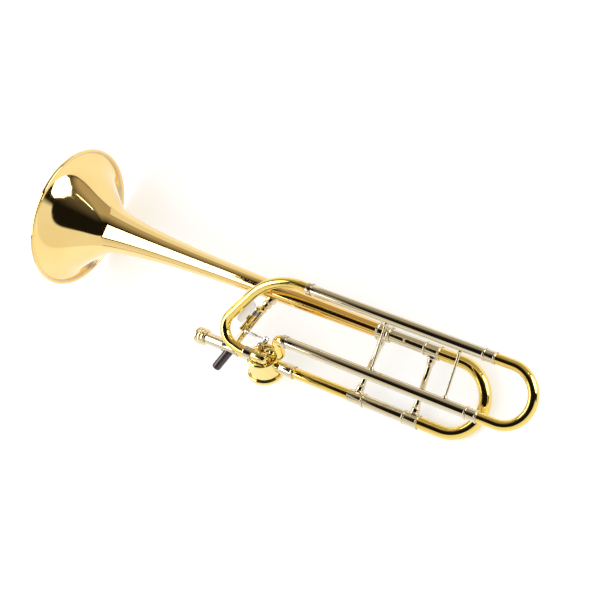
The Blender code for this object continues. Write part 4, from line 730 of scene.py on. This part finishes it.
def build_f_side():
    bow_start, bow_end = F_SEAM + 7 * MM, 825.3 * MM
    leg = F_SLEEVE - LEG_INSET
    bore, outer, length = F_SLEEVE + GAP, F_SLEEVE + 1.1 * MM, 8 * MM
    joint = [(bore, 0), (outer, 0), (outer, length), (bore, length)]
    for side, line, start in (("upper", F_UPPER, F_UPPER_START), ("lower", F_LOWER, F_LOWER_START)):
        sleeve("valve_loop_sleeve_" + side, "f_%s_sleeve" % side, line, start, F_SEAM, F_SLEEVE)
        add("valve_loop_joint_" + side, "horn", NICKEL,
            [revolve(joint, line + (start - length / 2) * X_AXIS, X_AXIS, TUBE_SIDES, 0.5 * MM)],
            ("f_%s_joint_ring" % side,))
        add("valve_loop_leg_" + side, "f_slide", NICKEL,
            [pipe(line, F_SEAM - 150 * MM, bow_start - GAP, leg)], ("f_inner_leg_" + side,))
        slide_ferrule("valve_loop_ferrule_" + side, "f_bow_ferrule_" + side, "f_slide", line,
                      F_SEAM, 16 * MM, bow_start, leg, F_TUBE, 0.7 * MM)
    add("valve_loop_bow", "f_slide", BRASS,
        [sweep(bow_route(F_UPPER, F_LOWER, bow_start, bow_end, F_TUBE), F_TUBE)], ("f_tuning_bow",))


def build_crooks():
    """Long crook from the upper loop tube down to the valve, and short crook back to the lower one."""
    inlet = at_valve(368 * MM, BOSS_RISE, LARGE_CROOK_FRONT)
    corners = [F_UPPER + (F_UPPER_START - GAP) * X_AXIS, F_UPPER + 387.8 * MM * X_AXIS,
               Vector((308 * MM, -82 * MM, 24.2 * MM)), inlet - 8 * MM * X_AXIS, inlet]
    route = fillet_path(corners, (95 * MM, 26 * MM, 30 * MM))
    add("long_crook", "horn", BRASS, [sweep(route, F_TUBE)], ("f_large_crook",))
    bore = F_TUBE + GAP
    throat, outer = bore - 1.6 * MM, bore + 0.8 * MM
    profile = [(throat, GAP), (outer, GAP), (outer + 0.3 * MM, 2 * MM), (outer, 3.5 * MM), (outer, 14 * MM),
               (bore, 14 * MM), (bore, 3.3 * MM), (throat, 3.3 * MM)]
    add("crook_ferrule", "horn", NICKEL, [revolve(profile, inlet, X_AXIS, TUBE_SIDES, 0.5 * MM)],
        ("f_crook_ferrule",))
    line = at_valve(0, BOSS_RISE, LARGE_CROOK_FRONT)
    add("inlet_tube", "horn", BRASS, [pipe(line, 371.6 * MM, 383.7 * MM, F_TUBE)], ("f_inlet_pipe",))
    turn = 422 * MM
    corners = [at_valve(x, BOSS_RISE, RETURN_CROOK_FRONT) for x in (411.3 * MM, turn)]
    corners += [F_LOWER + x * X_AXIS for x in (turn, F_LOWER_START - GAP)]
    route = fillet_path(corners, (10.4 * MM, 14.5 * MM))
    add("return_crook", "horn", BRASS, [sweep(route, F_TUBE)], ("f_return_crook",))


# Braces

def thin_brace(name, node, first, second):
    length = (second - first).length
    end = []
    for radius, height in in_mm((0, -0.8), (3.9, -0.8), (3.9, 0.8), (2.9, 1.7), (2.5, 3.2), (1.9, 3.8)):
        end.append((radius, F_SLEEVE + height))
    profile = end + [(radius, length - height) for radius, height in reversed(end)]
    add(name, "horn", NICKEL, [revolve(profile, first, second - first, 32, 0.4 * MM, closed=False)],
        (node,))


def build_braces():
    socket_brace("long_brace", "main_brace", "horn", 561.5 * MM * X_AXIS, 549 * MM * X_AXIS + NECKPIPE,
                 5.6 * MM, SLEEVE_LOWER + RING)
    for side, x in (("front", 580 * MM), ("back", 697 * MM)):
        thin_brace("loop_brace_" + side, "f_brace_" + side, F_UPPER + x * X_AXIS, F_LOWER + x * X_AXIS)
    stay = 565.5 * MM * X_AXIS
    thin_brace("loop_stay", "f_stay", stay, F_UPPER + stay)


def build_rear_brace():
    """Slanted brace, its wide head against the stem shield, and the grip post on its other side."""
    length = (BRACE_HEAD - BRACE_FOOT).length
    surface = length - (bell_radius(BRACE_HEAD_X) + GAP + TUBE_WALL) / BRACE_ALONG.y
    flange, cup, top = surface - 4 * MM, surface - 13 * MM, length - 10 * MM
    profile = in_mm((0, 7.8), (6.2, 7.8), (6.2, 10.6), (5.4, 11.4), (5, 12.4))
    profile += [(5 * MM, cup - 1 * MM), (5.6 * MM, cup), (7 * MM, cup + 1.2 * MM),
                (7 * MM, flange - 1.6 * MM), (5.9 * MM, flange - 0.4 * MM),
                (6.3 * MM, flange + 0.8 * MM), (8.5 * MM, surface - 1.5 * MM), (8.5 * MM, top), (0, top)]
    add("slanted_brace", "horn", NICKEL,
        [revolve(profile, BRACE_FOOT, BRACE_ALONG, TUBE_SIDES, 0.5 * MM, closed=False)], ("rear_brace",))
    rest = in_mm((0, 7.5), (6.75, 7.5), (6.75, 38.2), (6.3, 39.6), (5.2, 40.6), (3.4, 41), (0, 41))
    add("grip_post", "horn", BLACK,
        [revolve(rest, BRACE_FOOT, -BRACE_ALONG, TUBE_SIDES, 0.6 * MM, closed=False)], ("hand_rest",))


# Small CAD nodes that keep their own shape

LOOKS = {"stop_plate": VALVE_BRASS, "stop_bumper_rest": CORK, "stop_bumper_pressed": CORK,
         "lever_pivot_rod": STEEL, "lever_ear_lower": VALVE_BRASS, "lever_ear_upper": VALVE_BRASS,
         "lever_spring": SPRING, "thumb_lever": VALVE_BRASS, "thumb_plate": PEARL, "linkage_rod": STEEL}


def dress_cad_nodes():
    for name, look in LOOKS.items():
        mesh = frame["nodes"][name].data
        for index in range(len(mesh.materials)):
            mesh.materials[index] = look


# Floor, lights and camera

FLOOR_Z = CAD_BOX[0].z
ROOM_RADIUS = 3.6
AMBIENT = 0.9


def math_node(nodes, links, operation, *values):
    node = nodes.new("ShaderNodeMath")
    node.operation = operation
    for socket, value in zip(node.inputs, values):
        if isinstance(value, (int, float)):
            socket.default_value = value
        else:
            links.new(value, socket)
    return node.outputs[0]


def looked_at(nodes, links):
    """1 for camera, glossy and transmission rays, else 0."""
    path = nodes.new("ShaderNodeLightPath")
    seen = math_node(nodes, links, "MAXIMUM", path.outputs["Is Camera Ray"], path.outputs["Is Glossy Ray"])
    return math_node(nodes, links, "MAXIMUM", seen, path.outputs["Is Transmission Ray"])


def build_floor():
    """White table just below the part, brighter to the camera and in the metal than it lights the part."""
    width, depth, drop, glow = 2.55, 3.6, 0.2 * MM, 0.45
    bpy.ops.mesh.primitive_plane_add(size=1)
    floor = bpy.context.object
    floor.name = "table_top"
    floor.scale = (width, depth, 1)
    floor.location = (-0.525, 0, FLOOR_Z - drop)
    made, nodes, links = new_material("white_table")
    shader = nodes["Principled BSDF"]
    shader.inputs["Base Color"].default_value = (0.65, 0.65, 0.65, 1)
    shader.inputs["Roughness"].default_value = 0.9
    shader.inputs["Specular IOR Level"].default_value = 0.05
    shader.inputs["Emission Color"].default_value = (1, 1, 1, 1)
    strength = math_node(nodes, links, "MULTIPLY", looked_at(nodes, links), glow)
    links.new(strength, shader.inputs["Emission Strength"])
    floor.data.materials.append(made)


def reflected_only(thing):
    """Seen by glossy rays alone."""
    for flag in ("visible_camera", "visible_diffuse", "visible_transmission", "visible_shadow",
                 "visible_volume_scatter"):
        setattr(thing, flag, False)


def glowing(name, colour, strength):
    made, nodes, links = new_material(name)
    nodes.remove(nodes["Principled BSDF"])
    glow = nodes.new("ShaderNodeEmission")
    glow.inputs["Color"].default_value = (*colour, 1)
    glow.inputs["Strength"].default_value = strength
    links.new(glow.outputs["Emission"], nodes["Material Output"].inputs["Surface"])
    return made, nodes, links, glow


def build_room():
    """Studio that only the metal shows: white on the left, tan on the right, dark elsewhere."""
    bm = bmesh.new()
    bmesh.ops.create_uvsphere(bm, u_segments=64, v_segments=32, radius=1)
    mesh = bpy.data.meshes.new("studio_room")
    bm.to_mesh(mesh)
    bm.free()
    mesh.shade_smooth()
    room = bpy.data.objects.new("studio_room", mesh)
    bpy.context.scene.collection.objects.link(room)
    room.scale = (ROOM_RADIUS, ROOM_RADIUS, ROOM_RADIUS)
    room.location = (0, 0, FLOOR_Z)
    made, nodes, links, glow = glowing("studio_walls", (1, 1, 1), 1)
    coordinates = nodes.new("ShaderNodeTexCoord")
    split = nodes.new("ShaderNodeSeparateXYZ")
    links.new(coordinates.outputs["Object"], split.inputs["Vector"])
    x, y, z = (split.outputs[axis] for axis in "XYZ")

    def calc(operation, *values):
        return math_node(nodes, links, operation, *values)

    def ramp(value, start, stop, low=0, high=1):
        return remap(nodes, links, value, low, high, start, stop)

    def window(value, start, stop, soft):
        rising = ramp(value, start - soft, start + soft)
        return calc("MULTIPLY", rising, ramp(value, stop + soft, stop - soft))

    # Directions in degrees
    degrees = 180 / math.pi
    azimuth = calc("MULTIPLY", calc("ARCTAN2", y, x), degrees)
    height = calc("MULTIPLY", calc("ARCSINE", z), degrees)
    # White panel under a sloping edge, with a dark skirting at its far end
    edge = calc("MULTIPLY_ADD", azimuth, -0.27, 22)
    left = calc("MULTIPLY", window(azimuth, -168, 3, 3), ramp(calc("SUBTRACT", height, edge), 1.5, -1.5))
    skirting = calc("MULTIPLY", ramp(azimuth, -104, -110), ramp(height, 1.5, 0.5))
    left = calc("MULTIPLY", left, calc("SUBTRACT", 1, skirting))
    # Tan wall that fades upwards, at the floor and towards the front
    tan = calc("MULTIPLY", calc("POWER", ramp(height, 72, 38), 1.2), 0.5)
    faint = calc("MULTIPLY", window(azimuth, 24, 70, 12), 0.2)
    tan = calc("MULTIPLY", tan, calc("MAXIMUM", window(azimuth, 52, 190, 6), faint))
    tan = calc("MULTIPLY", tan, ramp(height, -2, 1, 0.15, 1))
    # The panel turns warm high up at its far end
    warm = calc("MULTIPLY", ramp(azimuth, -94, -110), ramp(height, 14, 40))
    panel = mix_colours(nodes, links, warm, (0.98, 0.97, 0.94), (0.80, 0.70, 0.56))
    tint = mix_colours(nodes, links, tan, (0.010, 0.009, 0.008), (1.0, 0.86, 0.65))
    links.new(mix_colours(nodes, links, left, tint, panel), glow.inputs["Color"])
    mesh.materials.append(made)
    reflected_only(room)


def card(name, centre, across, along, sides, strength):
    """Glowing card, a rectangle or a regular polygon, spanned by two half lengths."""
    centre, across, along = Vector(centre), Vector(across), Vector(along)
    if sides == 4:
        points = [centre + a * across + b * along for a, b in ((-1, -1), (1, -1), (1, 1), (-1, 1))]
    else:
        turns = [2 * math.pi * (step + 0.5) / sides for step in range(sides)]
        points = [centre + math.cos(turn) * across + math.sin(turn) * along for turn in turns]
    mesh = bpy.data.meshes.new(name)
    mesh.from_pydata([tuple(point) for point in points], [], [tuple(range(len(points)))])
    mesh.materials.append(glowing(name, (1.0, 0.99, 0.96), strength)[0])
    made = bpy.data.objects.new(name, mesh)
    bpy.context.scene.collection.objects.link(made)
    reflected_only(made)


def build_cards():
    """Bright strip in a dark frame overhead, a low wall, and two softboxes in front of the bell."""
    card("overhead_frame", (-0.63, -0.26, FLOOR_Z + 0.71), (0.35, 0, 0), (0, 0.50, 0), 4, 0)
    card("overhead_strip", (-0.64, -0.225, FLOOR_Z + 0.7), (0.31, 0, 0), (0, 0.385, 0), 4, 5)
    card("side_wall", (-0.80, 0.6, FLOOR_Z + 0.19), (0.50, 0, 0), (0, 0, 0.19), 4, 0.95)
    bell, distance = Vector((-0.40, 0.016, FLOOR_Z + 0.11)), 2
    for name, azimuth, elevation, width, tall, sides in (("octagon_softbox", 27, 9, 0.56, 0.62, 8),
                                                         ("small_strip", 43, 26, 0.02, 0.19, 4)):
        turn, lift = math.radians(azimuth), math.radians(elevation)
        away = Vector((math.cos(lift) * math.cos(turn), math.cos(lift) * math.sin(turn), math.sin(lift)))
        across = Z_AXIS.cross(away).normalized()
        card(name, bell + distance * away, width * across, tall * away.cross(across), sides, 5)


def build_lights():
    """Soft lamp from the left, and an even surround."""
    data = bpy.data.lights.new("overhead_softbox", "AREA")
    data.shape = "RECTANGLE"
    data.size = data.size_y = 1.4
    data.energy = 8
    lamp = bpy.data.objects.new("overhead_softbox", data)
    bpy.context.scene.collection.objects.link(lamp)
    lamp.location, target = Vector((-0.5, -0.7, 1.5)), Vector((-0.1, 0, 0))
    lamp.rotation_euler = (target - lamp.location).to_track_quat("-Z", "Y").to_euler()
    lamp.visible_camera = lamp.visible_glossy = False
    world = bpy.data.worlds.new("studio_light")
    world.use_nodes = True
    nodes, links = world.node_tree.nodes, world.node_tree.links
    back = nodes["Background"]
    back.inputs["Color"].default_value = (1, 1, 1, 1)
    strength = math_node(nodes, links, "MULTIPLY_ADD", looked_at(nodes, links), 1 - AMBIENT, AMBIENT)
    links.new(strength, back.inputs["Strength"])
    bpy.context.scene.world = world


def build_camera():
    """Camera placed in the horn frame."""
    data = bpy.data.cameras.new("camera")
    data.sensor_width = 36
    data.lens = 111
    camera = bpy.data.objects.new("camera", data)
    bpy.context.scene.collection.objects.link(camera)
    place = Vector((1684.0, 281.4, 2302.3)) * MM
    back = Vector((0.4796, 0.1062, 0.8710)).normalized()
    up = Vector((-0.3095, 0.9493, 0.0547))
    right = up.cross(back).normalized()
    up = back.cross(right)
    turn = Matrix((right, up, back)).transposed().to_4x4()
    camera.matrix_world = HORN @ Matrix.Translation(place) @ turn
    bpy.context.scene.camera = camera


build_bell()
build_stem_patch()
build_main_sleeves()
build_main_slide()
build_neckpipe()
build_lock_nut()
build_gooseneck()
build_valve()
build_rotor()
build_f_side()
build_crooks()
build_braces()
build_rear_brace()
dress_cad_nodes()
build_floor()
build_room()
build_cards()
build_lights()
build_camera()
bpy.context.scene.view_settings.view_transform = "Standard"
